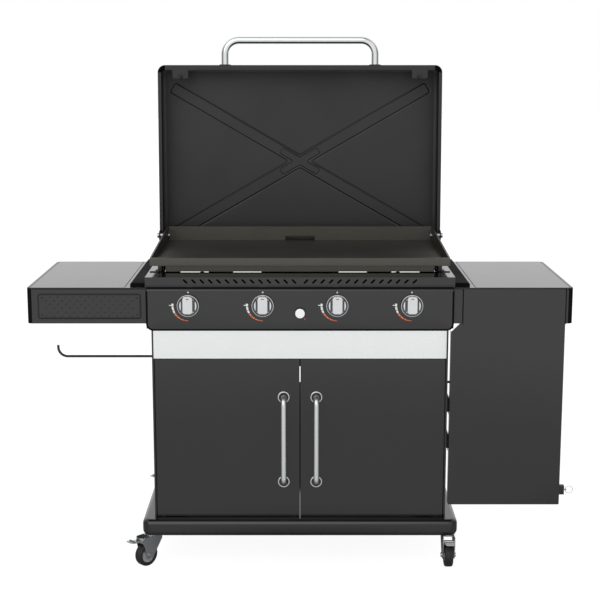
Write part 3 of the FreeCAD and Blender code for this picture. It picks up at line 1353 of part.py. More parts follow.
def all_nodes():
    """Every piece by its node name, in the cart's frame."""
    side = cabinet_side()
    right_wing = wing()
    right_door = door()
    right_handle = door_handle()
    nodes = {
        "base_tray": base_tray(),
        "caster_plates": group([caster_plate(x, y) for x, y, turn in CASTERS.values()]),
        "cabinet_right_side": side,
        "cabinet_left_side": mirrored(side),
        "cabinet_back": cabinet_back(),
        "cabinet_shelf": cabinet_shelf(),
        "front_header": front_header(),
        "door_hinge_pins": door_hinge_pins(),
        "door_magnets": door_magnets(),
        "left_shelf": mirrored(right_wing),
        "right_shelf": right_wing.cut(inlet_hole()),
        "tool_rests": tool_rests(),
        "apron_plate": apron_plate(),
        "towel_rod": towel_rod(),
        "tank_cover": tank_cover(),
        "tank_bracket": tank_bracket(),
        "plunger_housing": plunger_housing(),
        "firebox_shell": firebox_shell(),
        "firebox_floor": firebox_floor(),
        "vent_rim": vent_rim(),
        "control_panel": control_panel(),
        "gas_manifold": gas_manifold(),
        "gas_valves": group([gas_valve(x) for x in KNOB_X]),
        "burner_tubes": group([burner_tube(x) for x in KNOB_X]),
        "igniter_module": group([igniter_housing()] + [spark_electrode(x) for x in KNOB_X]),
        "griddle_posts": griddle_posts(),
        "grease_bracket": grease_bracket(),
        "grease_cup": grease_cup(),
        "griddle_plate": griddle_plate(),
        "hinge_bolts": hinge_bolts(),
        "lid_shell": lid_shell(),
        "lid_handle": lid_handle(),
        "lid_bumpers": lid_bumpers(),
        "door_right": right_door,
        "door_left": mirrored(right_door),
        "door_right_handle": right_handle,
        "door_left_handle": mirrored(right_handle),
        "igniter_button": igniter_button(),
        "plunger_pin": plunger_pin(),
        "pull_ring": pull_ring(),
    }
    for number, x in enumerate(KNOB_X, 1):
        nodes["valve_stem_%d" % number] = valve_stem(x)
        nodes["knob_%d" % number] = knob(x)
    for name, place in CASTERS.items():
        nodes["caster_fork_" + name] = on_caster(fork(), place)
        nodes["wheel_" + name] = on_caster(wheel(), place)
        nodes["brake_pedal_" + name] = on_caster(pedal(), place)
    return nodes


def main():
    os.makedirs("parts", exist_ok=True)
    for name, shape in all_nodes().items():
        shape.translate(vector(-CENTRE_X, -CENTRE_Y, 0))
        if not shape.isValid():
            print("not valid:", name)
        shape.exportStep("parts/%s.step" % name)


main()
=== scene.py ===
"""Outdoor gas griddle station: finishes, small fittings, floor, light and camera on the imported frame.

Places and sizes are written in millimetres from the cart's middle and front edge, and built in metres.
"""

import json
import math
import bmesh
import bpy
from mathutils import Matrix, Vector

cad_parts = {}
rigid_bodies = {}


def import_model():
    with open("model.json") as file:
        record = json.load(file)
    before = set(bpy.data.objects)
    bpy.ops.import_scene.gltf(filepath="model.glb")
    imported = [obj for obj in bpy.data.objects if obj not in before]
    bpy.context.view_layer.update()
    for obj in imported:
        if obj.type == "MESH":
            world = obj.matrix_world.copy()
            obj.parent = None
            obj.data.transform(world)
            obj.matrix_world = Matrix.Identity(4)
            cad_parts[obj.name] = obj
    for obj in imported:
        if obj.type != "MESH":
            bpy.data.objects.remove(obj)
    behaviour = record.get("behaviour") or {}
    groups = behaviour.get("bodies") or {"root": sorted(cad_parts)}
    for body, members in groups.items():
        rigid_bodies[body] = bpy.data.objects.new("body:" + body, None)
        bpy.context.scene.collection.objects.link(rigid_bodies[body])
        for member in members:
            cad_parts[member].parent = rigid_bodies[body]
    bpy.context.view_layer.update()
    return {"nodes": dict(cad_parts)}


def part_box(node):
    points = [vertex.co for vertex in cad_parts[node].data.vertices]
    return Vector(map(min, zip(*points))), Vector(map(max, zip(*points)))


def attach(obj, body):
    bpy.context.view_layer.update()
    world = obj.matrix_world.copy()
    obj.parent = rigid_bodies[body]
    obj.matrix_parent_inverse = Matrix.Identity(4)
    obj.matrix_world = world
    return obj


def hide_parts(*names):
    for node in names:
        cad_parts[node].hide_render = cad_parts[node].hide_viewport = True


MM = 0.001

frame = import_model()
NODES = frame["nodes"]

# The frame's zero, seen from the cart's own middle and front edge
CART_X = -11 * MM
CART_Y = -359.96 * MM


def cart(x, y, z):
    """A place given in millimetres from the cart's middle and front edge."""
    return Vector((x * MM + CART_X, y * MM + CART_Y, z * MM))


# Colours and shader nodes; most of a noise lies between the low and the high value

PATTERN_LOW = 0.3
PATTERN_HIGH = 0.7


def colour(hexes):
    """Linear colour from an sRGB hex value."""
    channels = [int(hexes[i:i + 2], 16) / 255 for i in (1, 3, 5)]
    return tuple(c / 12.92 if c <= 0.04045 else ((c + 0.055) / 1.055) ** 2.4 for c in channels) + (1.0,)


def add(tree, kind, feeds=None, **settings):
    """Adds a node with its settings, and feeds its inputs with values or with other nodes' sockets."""
    node = tree.nodes.new(kind)
    for name, value in settings.items():
        setattr(node, name, value)
    for key, value in (feeds or {}).items():
        if isinstance(value, bpy.types.NodeSocket):
            tree.links.new(value, node.inputs[key])
        else:
            node.inputs[key].default_value = value
    return node


def new_finish(name):
    """An empty material with its tree, its place on the piece, its shader and its output."""
    material = bpy.data.materials.new(name)
    material.use_nodes = True
    tree = material.node_tree
    tree.nodes.clear()
    place = add(tree, "ShaderNodeTexCoord").outputs["Object"]
    shader = add(tree, "ShaderNodeBsdfPrincipled")
    add(tree, "ShaderNodeOutputMaterial", {"Surface": shader.outputs["BSDF"]})
    return material, tree, place, shader


def per_metre(millimetres):
    """Texture scale whose features are this many millimetres apart."""
    return 1 / (millimetres * MM)


def set_all(shader, **values):
    """Sets numbers and colours on the shader's own sockets."""
    for name, value in values.items():
        shader.inputs[name.replace("_", " ")].default_value = value


def feed(tree, shader, **sockets):
    """Links sockets to the shader."""
    for name, socket in sockets.items():
        tree.links.new(socket, shader.inputs[name.replace("_", " ")])


def dress(tree, shader, tint, colours, wear, gloss, relief=None, depth=0.0, strength=0.0):
    """Colour, roughness and fine relief of a finish, each led by a pattern; depth is in millimetres."""
    mixed = add(tree, "ShaderNodeMix", {"Factor": tint, 6: colour(colours[0]), 7: colour(colours[1])},
                data_type="RGBA")
    moved = add(tree, "ShaderNodeMapRange",
                {"Value": wear, "From Min": PATTERN_LOW, "From Max": PATTERN_HIGH,
                 "To Min": gloss[0], "To Max": gloss[1]})
    feed(tree, shader, Base_Color=mixed.outputs[2], Roughness=moved.outputs["Result"])
    if relief is not None:
        raised = add(tree, "ShaderNodeBump",
                     {"Height": relief, "Distance": depth * MM, "Strength": strength})
        feed(tree, shader, Normal=raised.outputs["Normal"])


# Finishes; the patterns' sizes are in millimetres

COAT_CLOUD = 160
HAIR_LINES = 0.9
SHEET_CLOUD = 90
HANDLING_MARKS = 1.5
HEAT_CLOUD = 130
ROLL_GRAIN = 2.5
MOULD_CLOUD = 30
INK_SPOTS = 2
BRUSHED_ALONG = (0.02, 1.0, 1.0)
BRUSHED_UPRIGHT = (1.0, 1.0, 0.05)
ROLLED_ALONG = (0.08, 1.0, 1.0)


def powder_coat(name, low, high, grit=1.1, smooth=0.1, rough=0.14, shine=0.5):
    """Polyester powder coat, sprayed and baked on steel: black with a fine orange peel, satin or matt."""
    material, tree, place, shader = new_finish(name)
    peel = add(tree, "ShaderNodeTexNoise", {"Vector": place, "Scale": per_metre(grit), "Detail": 2.0})
    cloud = add(tree, "ShaderNodeTexNoise",
                {"Vector": place, "Scale": per_metre(COAT_CLOUD), "Detail": 3.0})
    dress(tree, shader, cloud.outputs["Fac"], (low, high), cloud.outputs["Fac"], (smooth, rough),
          relief=peel.outputs["Fac"], depth=0.01, strength=0.2)
    set_all(shader, Metallic=0.0, IOR=1.56, Specular_IOR_Level=shine)
    return material


def brushed_steel(name, low, high, stretch, smooth, rough):
    """Stainless, brushed one way: hair lines that spread the highlight, drawn coarse enough to show."""
    material, tree, place, shader = new_finish(name)
    lines = add(tree, "ShaderNodeMapping", {"Vector": place, "Scale": stretch})
    hair = add(tree, "ShaderNodeTexNoise",
               {"Vector": lines.outputs["Vector"], "Scale": per_metre(HAIR_LINES), "Detail": 3.0})
    cloud = add(tree, "ShaderNodeTexNoise",
                {"Vector": place, "Scale": per_metre(SHEET_CLOUD), "Detail": 2.0})
    dress(tree, shader, hair.outputs["Fac"], (low, high), cloud.outputs["Fac"], (smooth, rough),
          relief=hair.outputs["Fac"], depth=0.01, strength=0.5)
    set_all(shader, Metallic=1.0)
    return material


def plated(name, low, high, smooth, rough, patch=14):
    """Zinc or chrome on steel: bright, a little cloudy, with faint handling marks."""
    material, tree, place, shader = new_finish(name)
    cloud = add(tree, "ShaderNodeTexNoise", {"Vector": place, "Scale": per_metre(patch), "Detail": 4.0})
    marks = add(tree, "ShaderNodeTexNoise",
                {"Vector": place, "Scale": per_metre(HANDLING_MARKS), "Detail": 3.0})
    dress(tree, shader, cloud.outputs["Fac"], (low, high), cloud.outputs["Fac"], (smooth, rough),
          relief=marks.outputs["Fac"], depth=0.01, strength=0.06)
    set_all(shader, Metallic=1.0)
    return material


def griddle_steel(name, low, high, smooth, rough):
    """Thick hot rolled steel, oiled and burnt in: warm dark grey, satin, darker where it has seen heat."""
    material, tree, place, shader = new_finish(name)
    cloud = add(tree, "ShaderNodeTexNoise",
                {"Vector": place, "Scale": per_metre(HEAT_CLOUD), "Detail": 5.0, "Roughness": 0.6})
    grain = add(tree, "ShaderNodeMapping", {"Vector": place, "Scale": ROLLED_ALONG})
    roll = add(tree, "ShaderNodeTexNoise",
               {"Vector": grain.outputs["Vector"], "Scale": per_metre(ROLL_GRAIN), "Detail": 3.0})
    dress(tree, shader, cloud.outputs["Fac"], (low, high), cloud.outputs["Fac"], (smooth, rough),
          relief=roll.outputs["Fac"], depth=0.03, strength=0.3)
    set_all(shader, Metallic=1.0)
    return material


def moulded(name, low, high, grain=0.8, smooth=0.45, rough=0.58, bump=0.3):
    """Moulded plastic or rubber: dull, with an even grain from the mould, drawn coarse enough to show."""
    material, tree, place, shader = new_finish(name)
    pebble = add(tree, "ShaderNodeTexVoronoi", {"Vector": place, "Scale": per_metre(grain)})
    cloud = add(tree, "ShaderNodeTexNoise",
                {"Vector": place, "Scale": per_metre(MOULD_CLOUD), "Detail": 2.0})
    dress(tree, shader, cloud.outputs["Fac"], (low, high), cloud.outputs["Fac"], (smooth, rough),
          relief=pebble.outputs["Distance"], depth=0.03, strength=bump)
    set_all(shader, Metallic=0.0, IOR=1.5)
    return material


def printed(name, low, high):
    """Screen printed ink on the panel: flat, slightly chalky, with thin spots."""
    material, tree, place, shader = new_finish(name)
    thin = add(tree, "ShaderNodeTexNoise", {"Vector": place, "Scale": per_metre(INK_SPOTS), "Detail": 3.0})
    dress(tree, shader, thin.outputs["Fac"], (low, high), thin.outputs["Fac"], (0.5, 0.65))
    set_all(shader, Metallic=0.0, IOR=1.5)
    return material


BLACK = powder_coat("black_powder_coat", "#131314", "#171718")
# Matt black: the tool rests' and cabinet shelf's own finish. It is also painted shade on the control
# panel's roll, the shelves' line and front corner, and the tank cover's hems, and it darkens the shelves'
# rolled front edge.
MATT_BLACK_AND_PAINTED_SHADE = powder_coat("matt_black_coat", "#101011", "#141415",
                         grit=1.6, smooth=0.6, rough=0.7, shine=0.03)
LID_BLACK = powder_coat("lid_powder_coat", "#0f0f10", "#131314", smooth=0.4, rough=0.5, shine=0.43)
HEADER_STEEL = brushed_steel("brushed_header_stainless", "#e2e4e4", "#f0f2f2", BRUSHED_ALONG,
                             smooth=0.26, rough=0.3)
HANDLE_STEEL = brushed_steel("satin_stainless_tube", "#c8caca", "#e4e6e5", BRUSHED_UPRIGHT,
                             smooth=0.26, rough=0.34)
CHROME = plated("polished_chrome_tube", "#d2d4d5", "#e6e8e9", smooth=0.05, rough=0.12)
ZINC = plated("bright_zinc_plate", "#a6a8aa", "#b8babc", smooth=0.22, rough=0.28, patch=40)
STEEL = griddle_steel("oiled_griddle_steel", "#51504b", "#615f59", smooth=0.4, rough=0.5)
BRASS = plated("machined_brass", "#b08d3f", "#cbaa5c", smooth=0.22, rough=0.36)
BURNER = plated("aluminised_burner_steel", "#77736c", "#9a958b", smooth=0.34, rough=0.52, patch=40)
# Black moulded plastic: the lid handle's flanges. It is also painted shade on the door handles' end plates
# and the burner ports.
BLACK_PLASTIC_AND_PAINTED_SHADE = moulded("moulded_black_plastic", "#141415", "#1c1c1d")
KNOB_SILVER = plated("satin_plated_knob", "#ced0d1", "#d6d8d9", smooth=0.2, rough=0.24, patch=30)
BUTTON_WHITE = plated("bright_plated_button", "#eceeee", "#f6f7f7", smooth=0.3, rough=0.36, patch=30)
# Dark grey for the knob's groove and the pads beside its grip: painted shade of recesses.
KNOB_PAINTED_SHADE = plated("grey_knob_recess", "#525456", "#606264", smooth=0.4, rough=0.46, patch=30)
RUBBER = moulded("bumper_rubber", "#121212", "#1a1a1a", grain=1.2, smooth=0.6, rough=0.75)
TYRE = moulded("tyre_rubber", "#161617", "#202021", grain=1.6, smooth=0.5, rough=0.66)
HUB = moulded("moulded_hub_plastic", "#9b9d9f", "#b4b6b8", grain=0.7, smooth=0.35, rough=0.5, bump=0.15)
WHITE_INK = printed("white_panel_ink", "#dededa", "#f4f4f2")
ORANGE_INK = printed("orange_panel_ink", "#d8683c", "#e88050")
RED_INK = printed("red_pointer_ink", "#c9483a", "#e46a55")

SLOT_FINISH = {
    "black_powder_coat": BLACK,
    "brushed_stainless": HANDLE_STEEL,
    "chrome_plate": CHROME,
    "zinc_plated_steel": ZINC,
    "griddle_steel": STEEL,
    "brass_body": BRASS,
    "moulded_black_plastic": BLACK_PLASTIC_AND_PAINTED_SHADE,
    "satin_knob_finish": KNOB_SILVER,
    "rubber_bumper": RUBBER,
    "tyre_rubber": TYRE,
}
NODE_SLOT = {name: node.data.materials[0].name for name, node in NODES.items()}
NODE_FINISH = {name: SLOT_FINISH[slot] for name, slot in NODE_SLOT.items()}
NODE_FINISH["front_header"] = HEADER_STEEL
NODE_FINISH["lid_shell"] = LID_BLACK
NODE_FINISH["burner_tubes"] = BURNER
NODE_FINISH["firebox_floor"] = BURNER
NODE_FINISH["tool_rests"] = MATT_BLACK_AND_PAINTED_SHADE
NODE_FINISH["cabinet_shelf"] = MATT_BLACK_AND_PAINTED_SHADE
NODE_FINISH["door_hinge_pins"] = BLACK
NODE_FINISH["griddle_posts"] = BLACK
NODE_FINISH["igniter_button"] = BUTTON_WHITE
NODE_BODY = {name: node.parent.name.split(":")[1] for name, node in NODES.items()}


# Pieces

FLAT_ANGLE = 0.5
EDGE_ANGLE = 40
FOLD_ROUND = 0.5
PRESS_ROUND = 0.4
THIN_ROUND = 0.3


def new_piece(name, mesh, finish, body, stands_for=()):
    """Shows a finished mesh on its body, under its slot, in place of the nodes that it stands for."""
    piece = bpy.data.objects.new(name, mesh)
    bpy.context.scene.collection.objects.link(piece)
    if mesh.materials:
        mesh.materials.clear()
    for entry in (finish if isinstance(finish, tuple) else (finish,)):
        mesh.materials.append(entry)
    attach(piece, body)
    if stands_for:
        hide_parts(*stands_for)
    return piece


def shaded(mesh, angle):
    """Smooth faces, with edges sharper than the angle kept crisp."""
    bm = bmesh.new()
    bm.from_mesh(mesh)
    for face in bm.faces:
        face.smooth = True
    for edge in bm.edges:
        edge.smooth = edge.is_manifold and edge.calc_face_angle(0) < math.radians(angle)
    bm.to_mesh(mesh)
    bm.free()
    return mesh


def clean_copy(node):
    """A CAD node's mesh with its triangles merged and its flat faces made whole."""
    mesh = NODES[node].data.copy()
    bm = bmesh.new()
    bm.from_mesh(mesh)
    bmesh.ops.remove_doubles(bm, verts=bm.verts, dist=1e-6)
    bmesh.ops.dissolve_limit(bm, angle_limit=math.radians(FLAT_ANGLE), verts=bm.verts, edges=bm.edges)
    bm.to_mesh(mesh)
    bm.free()
    return mesh


def eased(node, width):
    """Stands for a sheet or machined node, with its edges broken as the real ones are."""
    mesh = shaded(clean_copy(node), EDGE_ANGLE)
    piece = new_piece(node + "_eased", mesh, NODE_FINISH[node], NODE_BODY[node], (node,))
    ease = piece.modifiers.new("edge", "BEVEL")
    ease.width = width * MM
    ease.segments = 2
    ease.limit_method = "ANGLE"
    ease.angle_limit = math.radians(EDGE_ANGLE)
    ease.harden_normals = True
    return piece


# Shapes in code

def rounded_outline(corners, steps=5):
    """A closed outline of (u, v) points, from corners given as (u, v, radius) and going anticlockwise."""
    points = []
    count = len(corners)
    for index, (u, v, radius) in enumerate(corners):
        here = Vector((u, v))
        before = (Vector(corners[index - 1][:2]) - here).normalized()
        after = (Vector(corners[(index + 1) % count][:2]) - here).normalized()
        if radius == 0:
            points.append(here)
            continue
        half = before.angle(after) / 2
        centre = here + (before + after).normalized() * radius / math.sin(half)
        start = here + before * radius / math.tan(half) - centre
        end = here + after * radius / math.tan(half) - centre
        turn = start.angle_signed(end)
        for step in range(steps + 1):
            points.append(centre + Matrix.Rotation(-turn * step / steps, 2) @ start)
    return points


def grown_outline(points, out):
    """The outline moved outwards by a distance, corner by corner."""
    grown = []
    count = len(points)
    for index, here in enumerate(points):
        before = (here - points[index - 1]).normalized()
        after = (points[(index + 1) % count] - here).normalized()
        normal = (Vector((before.y, -before.x)) + Vector((after.y, -after.x))).normalized()
        lean = max(0.3, normal.dot(Vector((after.y, -after.x))))
        grown.append(here + normal * out / lean)
    return grown


def loft(bm, rings):
    """Faces between closed rings of equally many points; returns the rings' vertices."""
    made = [[bm.verts.new(point) for point in ring] for ring in rings]
    for low, high in zip(made, made[1:]):
        count = len(low)
        for index in range(count):
            after = (index + 1) % count
            bm.faces.new((low[index], low[after], high[after], high[index]))
    return made


def lifted(points, height, place):
    """The outline's points at a height over its plane, put in place by a function of (u, v, height)."""
    return [place(point.x, point.y, height) for point in points]


def turned(bm, profile, place, steps=72):
    """A profile of (radius, along) turned about its axis; returns the rings' vertices."""
    rings = []
    for radius, along in profile:
        angles = [2 * math.pi * step / steps for step in range(steps)]
        rings.append([place(radius * math.cos(a), radius * math.sin(a), along) for a in angles])
    return loft(bm, rings)


def turned_ring(bm, profile, place, steps=72):
    """A closed section of (radius, along) turned about its axis."""
    rings = turned(bm, profile, place, steps)
    for index in range(steps):
        after = (index + 1) % steps
        bm.faces.new((rings[-1][index], rings[-1][after], rings[0][after], rings[0][index]))


def finished(bm, name, angle=35, outwards=True):
    """The mesh of a bmesh, merged, facing outwards and shaded."""
    bmesh.ops.remove_doubles(bm, verts=bm.verts, dist=1e-6)
    if outwards:
        bmesh.ops.recalc_face_normals(bm, faces=bm.faces)
    mesh = bpy.data.meshes.new(name)
    bm.to_mesh(mesh)
    bm.free()
    return shaded(mesh, angle)


def painted(bm, first, index):
    """Gives the faces made after the first one the finish of that index."""
    bm.faces.ensure_lookup_table()
    for face in bm.faces[first:]:
        face.material_index = index


# Repeats: one tree for round heads, one for flat oval marks

REPEAT_ANGLE = 50
SCREW_DOME = 0.84


def new_tree(name, sizes):
    """An empty tree with its named sizes, its points and its finish as inputs."""
    tree = bpy.data.node_groups.new(name, "GeometryNodeTree")
    tree.interface.new_socket(name="Geometry", in_out="INPUT", socket_type="NodeSocketGeometry")
    for size in sizes:
        tree.interface.new_socket(name=size, in_out="INPUT", socket_type="NodeSocketFloat")
    tree.interface.new_socket(name="Finish", in_out="INPUT", socket_type="NodeSocketMaterial")
    tree.interface.new_socket(name="Geometry", in_out="OUTPUT", socket_type="NodeSocketGeometry")
    return tree, add(tree, "NodeGroupInput").outputs


def on_points(tree, given, unit):
    """Copies of a unit on the points, turned to their facing, made real and given the finish."""
    facing = add(tree, "GeometryNodeInputNamedAttribute", {"Name": "facing"}, data_type="FLOAT_VECTOR")
    out = add(tree, "FunctionNodeAlignRotationToVector", {"Vector": facing.outputs["Attribute"]}, axis="Z")
    copies = add(tree, "GeometryNodeInstanceOnPoints",
                 {"Points": given["Geometry"], "Instance": unit, "Rotation": out.outputs["Rotation"]})
    real = add(tree, "GeometryNodeRealizeInstances", {"Geometry": copies.outputs["Instances"]})
    smooth = add(tree, "GeometryNodeSetShadeSmooth", {"Geometry": real.outputs["Geometry"]})
    coat = add(tree, "GeometryNodeSetMaterial",
               {"Geometry": smooth.outputs["Geometry"], "Material": given["Finish"]})
    add(tree, "NodeGroupOutput", {"Geometry": coat.outputs["Geometry"]})


def screw_tree():
    """Pan head screws: a washer face under a flattened dome."""
    tree, given = new_tree("pan_head_screws", ("Radius", "Height"))
    double = add(tree, "ShaderNodeMath", {0: given["Height"], 1: 2.0}, operation="MULTIPLY")
    washer = add(tree, "GeometryNodeMeshCylinder",
                 {"Vertices": 20, "Radius": given["Radius"], "Depth": given["Height"]}, fill_type="NGON")
    inner = add(tree, "ShaderNodeMath", {0: given["Radius"], 1: SCREW_DOME}, operation="MULTIPLY")
    ball = add(tree, "GeometryNodeMeshUVSphere", {"Segments": 16, "Rings": 10, "Radius": inner.outputs[0]})
    flat = add(tree, "ShaderNodeMath", {0: double.outputs[0], 1: inner.outputs[0]}, operation="DIVIDE")
    scale = add(tree, "ShaderNodeCombineXYZ", {"X": 1.0, "Y": 1.0, "Z": flat.outputs[0]})
    dome = add(tree, "GeometryNodeTransform", {"Geometry": ball.outputs["Mesh"], "Scale": scale.outputs[0]})
    head = add(tree, "GeometryNodeJoinGeometry")
    tree.links.new(washer.outputs["Mesh"], head.inputs["Geometry"])
    tree.links.new(dome.outputs["Geometry"], head.inputs["Geometry"])
    on_points(tree, given, head.outputs["Geometry"])
    return tree


def oval_tree():
    """Slanted ovals: low domes with their length turned away from upright."""
    tree, given = new_tree("slanted_ovals", ("Length", "Width", "Height", "Slant"))
    ball = add(tree, "GeometryNodeMeshUVSphere", {"Segments": 12, "Rings": 6, "Radius": 0.5})
    scale = add(tree, "ShaderNodeCombineXYZ",
                {"X": given["Length"], "Y": given["Width"], "Z": given["Height"]})
    slant = add(tree, "ShaderNodeCombineXYZ", {"X": 0.0, "Y": 0.0, "Z": given["Slant"]})
    oval = add(tree, "GeometryNodeTransform", {"Geometry": ball.outputs["Mesh"], "Scale": scale.outputs[0]})
    lean = add(tree, "GeometryNodeTransform",
               {"Geometry": oval.outputs["Geometry"], "Rotation": slant.outputs[0]})
    on_points(tree, given, lean.outputs["Geometry"])
    return tree


SCREWS = screw_tree()
OVALS = oval_tree()


def repeated(name, tree, places, facing, sizes, finish, body):
    """Runs a tree on places that all face one way, and keeps the plain mesh."""
    points = bpy.data.meshes.new(name)
    points.from_pydata([tuple(place) for place in places], [], [])
    out = points.attributes.new("facing", "FLOAT_VECTOR", "POINT")
    for item in out.data:
        item.vector = facing
    seed = bpy.data.objects.new(name + "_seed", points)
    bpy.context.scene.collection.objects.link(seed)
    rule = seed.modifiers.new("rule", "NODES")
    rule.node_group = tree
    sizes = dict(sizes, Finish=finish)
    for item in tree.interface.items_tree:
        if item.in_out == "INPUT" and item.name in sizes:
            rule[item.identifier] = sizes[item.name]
    graph = bpy.context.evaluated_depsgraph_get()
    mesh = bpy.data.meshes.new_from_object(seed.evaluated_get(graph))
    seed.modifiers.remove(rule)
    bpy.data.objects.remove(seed)
    new_piece(name, shaded(mesh, REPEAT_ANGLE), finish, body)


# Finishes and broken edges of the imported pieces

for name, node in NODES.items():
    node.data.materials[0] = NODE_FINISH[name]

# Sheet metal: folded edges are about a millimetre round

for name in ("cabinet_left_side", "cabinet_right_side", "cabinet_back", "cabinet_shelf", "door_left",
             "door_right", "tank_cover", "front_header"):
    eased(name, FOLD_ROUND)
for name in ("firebox_shell", "base_tray"):
    eased(name, PRESS_ROUND)


# Lid: the cross pressed into its leaf

LID_HALF = 487
LID_REACH = 581.5
LID_TAIL = 80
LID_LEAF_INSIDE = 129.8
LID_OPEN = 93
HINGE_Y = 612
HINGE_Z = 967
ARM_X = 446
ARM_Y = 257.75
ARM_HALF = 18.5
CROSS_HALF = 10.5
CROSS_REACH = 75
LEAF_EDGE = 16.5
LEAF_CORNER = 8
LEAF_DEPTH = 4.5
LEAF_MARGIN = 0.1
LEAF_SIDE_GAP = 1
LEAF_FRONT_GAP = 0.9
ARM_CORNERS = (8, 9)
CROSS_CORNERS = (5, 6)
ARM_PRESSING = ((6, 0), (3.4, 0), (2.6, -0.6), (1.5, -0.9), (0.4, -0.4), (-0.5, 2.0), (-1.4, 2.8),
                (-3, 2.8))
CROSS_PRESSING = ((5, 2.8), (2.8, 2.8), (2.0, 2.3), (1.2, 2.1), (0.4, 2.4), (-0.5, 4.1), (-1.2, 4.7),
                  (-2.6, 4.7))


def lid_place(x, y, up):
    """A place on the lid, given in its closed pose from the hinge in millimetres, with the lid opened."""
    closed = Vector((x, y, up))
    opened = Matrix.Rotation(math.radians(-LID_OPEN), 3, "X") @ closed
    return cart(opened.x, opened.y + HINGE_Y, opened.z + HINGE_Z)


def cross_outline(reach, half, end_radius, inner_radius):
    """Outline of two crossed bars, with round ends and round inner corners, about the leaf's middle."""
    lean = math.atan2(ARM_Y, ARM_X)
    middle = (LID_TAIL - LID_REACH) / 2
    corners = []
    for angle, next_angle in ((lean, math.pi - lean), (math.pi - lean, math.pi + lean),
                              (math.pi + lean, -lean), (-lean, lean)):
        along = Vector((math.cos(angle), math.sin(angle)))
        side = Vector((-along.y, along.x))
        for shift in (-half, half):
            corner = along * reach + side * shift
            corners.append((corner.x, corner.y + middle, end_radius))
        spread = (next_angle - angle) % (2 * math.pi) / 2
        inner = half / math.sin(spread)
        between = angle + spread
        corners.append((inner * math.cos(between), inner * math.sin(between) + middle, inner_radius))
    return rounded_outline(corners, 6)


def pressed_ring(bm, outline, profile):
    """A pressed line that follows an outline; profile gives (distance out, depth towards the inside)."""
    return loft(bm, [lifted(grown_outline(outline, out), LID_LEAF_INSIDE - depth, lid_place)
                     for out, depth in profile])


def flat_fill(bm, loops):
    """One flat face set between loops of vertices."""
    edges = []
    for ring in loops:
        for index, vertex in enumerate(ring):
            edge = bm.edges.get((ring[index - 1], vertex))
            edges.append(edge or bm.edges.new((ring[index - 1], vertex)))
    bmesh.ops.triangle_fill(bm, use_beauty=True, use_dissolve=False, edges=edges)


def lid_closed(place):
    """The same place in millimetres from the hinge with the lid closed."""
    opened = (place - cart(0, HINGE_Y, HINGE_Z)) / MM
    return Matrix.Rotation(math.radians(LID_OPEN), 3, "X") @ opened


def lid_walls():
    """The lid's pressed walls, ears and tabs, open where the leaf's pressing goes."""
    piece = eased("lid_shell", PRESS_ROUND)
    bm = bmesh.new()
    bm.from_mesh(piece.data)
    side = LID_HALF - LEAF_EDGE - LEAF_SIDE_GAP
    front = LEAF_EDGE + LEAF_FRONT_GAP - LID_REACH

    def in_leaf(corner):
        level = LID_LEAF_INSIDE - LEAF_DEPTH < corner.z < LID_LEAF_INSIDE + LEAF_MARGIN
        return level and abs(corner.x) < side and front < corner.y < LID_TAIL + LEAF_MARGIN

    inside = [face for face in bm.faces if all(in_leaf(lid_closed(vertex.co)) for vertex in face.verts)]
    bmesh.ops.delete(bm, geom=inside, context="FACES")
    bm.to_mesh(piece.data)
    bm.free()


def lid_leaf():
    """The inside of the lid's leaf: flat sheet with a crossed rib pressed in and a smaller cross on it."""
    bm = bmesh.new()
    arms = cross_outline(math.hypot(ARM_X, ARM_Y), ARM_HALF, *ARM_CORNERS)
    cross = cross_outline(CROSS_REACH, CROSS_HALF, *CROSS_CORNERS)
    edge = LID_HALF - LEAF_EDGE
    front = LEAF_EDGE - LID_REACH
    border = rounded_outline([(-edge, front, LEAF_CORNER), (edge, front, LEAF_CORNER), (edge, LID_TAIL, 0),
                              (-edge, LID_TAIL, 0)], 4)
    rim = [bm.verts.new(point) for point in lifted(border, LID_LEAF_INSIDE, lid_place)]
    outer = pressed_ring(bm, arms, ARM_PRESSING)
    inner = pressed_ring(bm, cross, CROSS_PRESSING)
    flat_fill(bm, (rim, outer[0]))
    flat_fill(bm, (outer[-1], inner[0]))
    flat_fill(bm, (inner[-1],))
    toward = lid_place(0, 0, 0) - lid_place(0, 0, 1)
    for face in bm.faces:
        face.normal_update()
        if face.normal.dot(toward) < 0:
            face.normal_flip()
    mesh = finished(bm, "lid_leaf_pressing", angle=60, outwards=False)
    new_piece("lid_leaf_pressing", mesh, LID_BLACK, "lid")


lid_walls()
lid_leaf()


# Control panel and vent rim

PANEL_HALF = 466
PANEL_LOW = 758.5
PANEL_TOP = 889
PANEL_FACE = -12
PANEL_BACK = 6
PANEL_ROLL = 7
PANEL_SHEET = 1.2
PANEL_CORNER = 22
LEAST_CORNER = 0.5
PANEL_SHADE_TOP = 880
KNOB_HEIGHT = 838.3
STEM_HOLE_R = 7
BUTTON_HEIGHT = 814
BUTTON_HOLE_R = 16.25


def panel_ring(inset, roll):
    """Outline of the pan moved inwards, with its corners kept round."""
    low = max(PANEL_CORNER - roll, LEAST_CORNER)
    high = max(PANEL_ROLL + 1 - roll, LEAST_CORNER)
    half = PANEL_HALF - inset
    return rounded_outline([(-half, PANEL_LOW + inset, low), (half, PANEL_LOW + inset, low),
                            (half, PANEL_TOP - inset, high), (-half, PANEL_TOP - inset, high)], 8)


def circle(x, z, radius, steps=32):
    """Points of a circle."""
    angles = [2 * math.pi * step / steps for step in range(steps)]
    return [Vector((x + radius * math.cos(a), z + radius * math.sin(a))) for a in angles]


def panel_place(u, v, out):
    """A place on the panel, out towards the front."""
    return cart(u, -out, v)


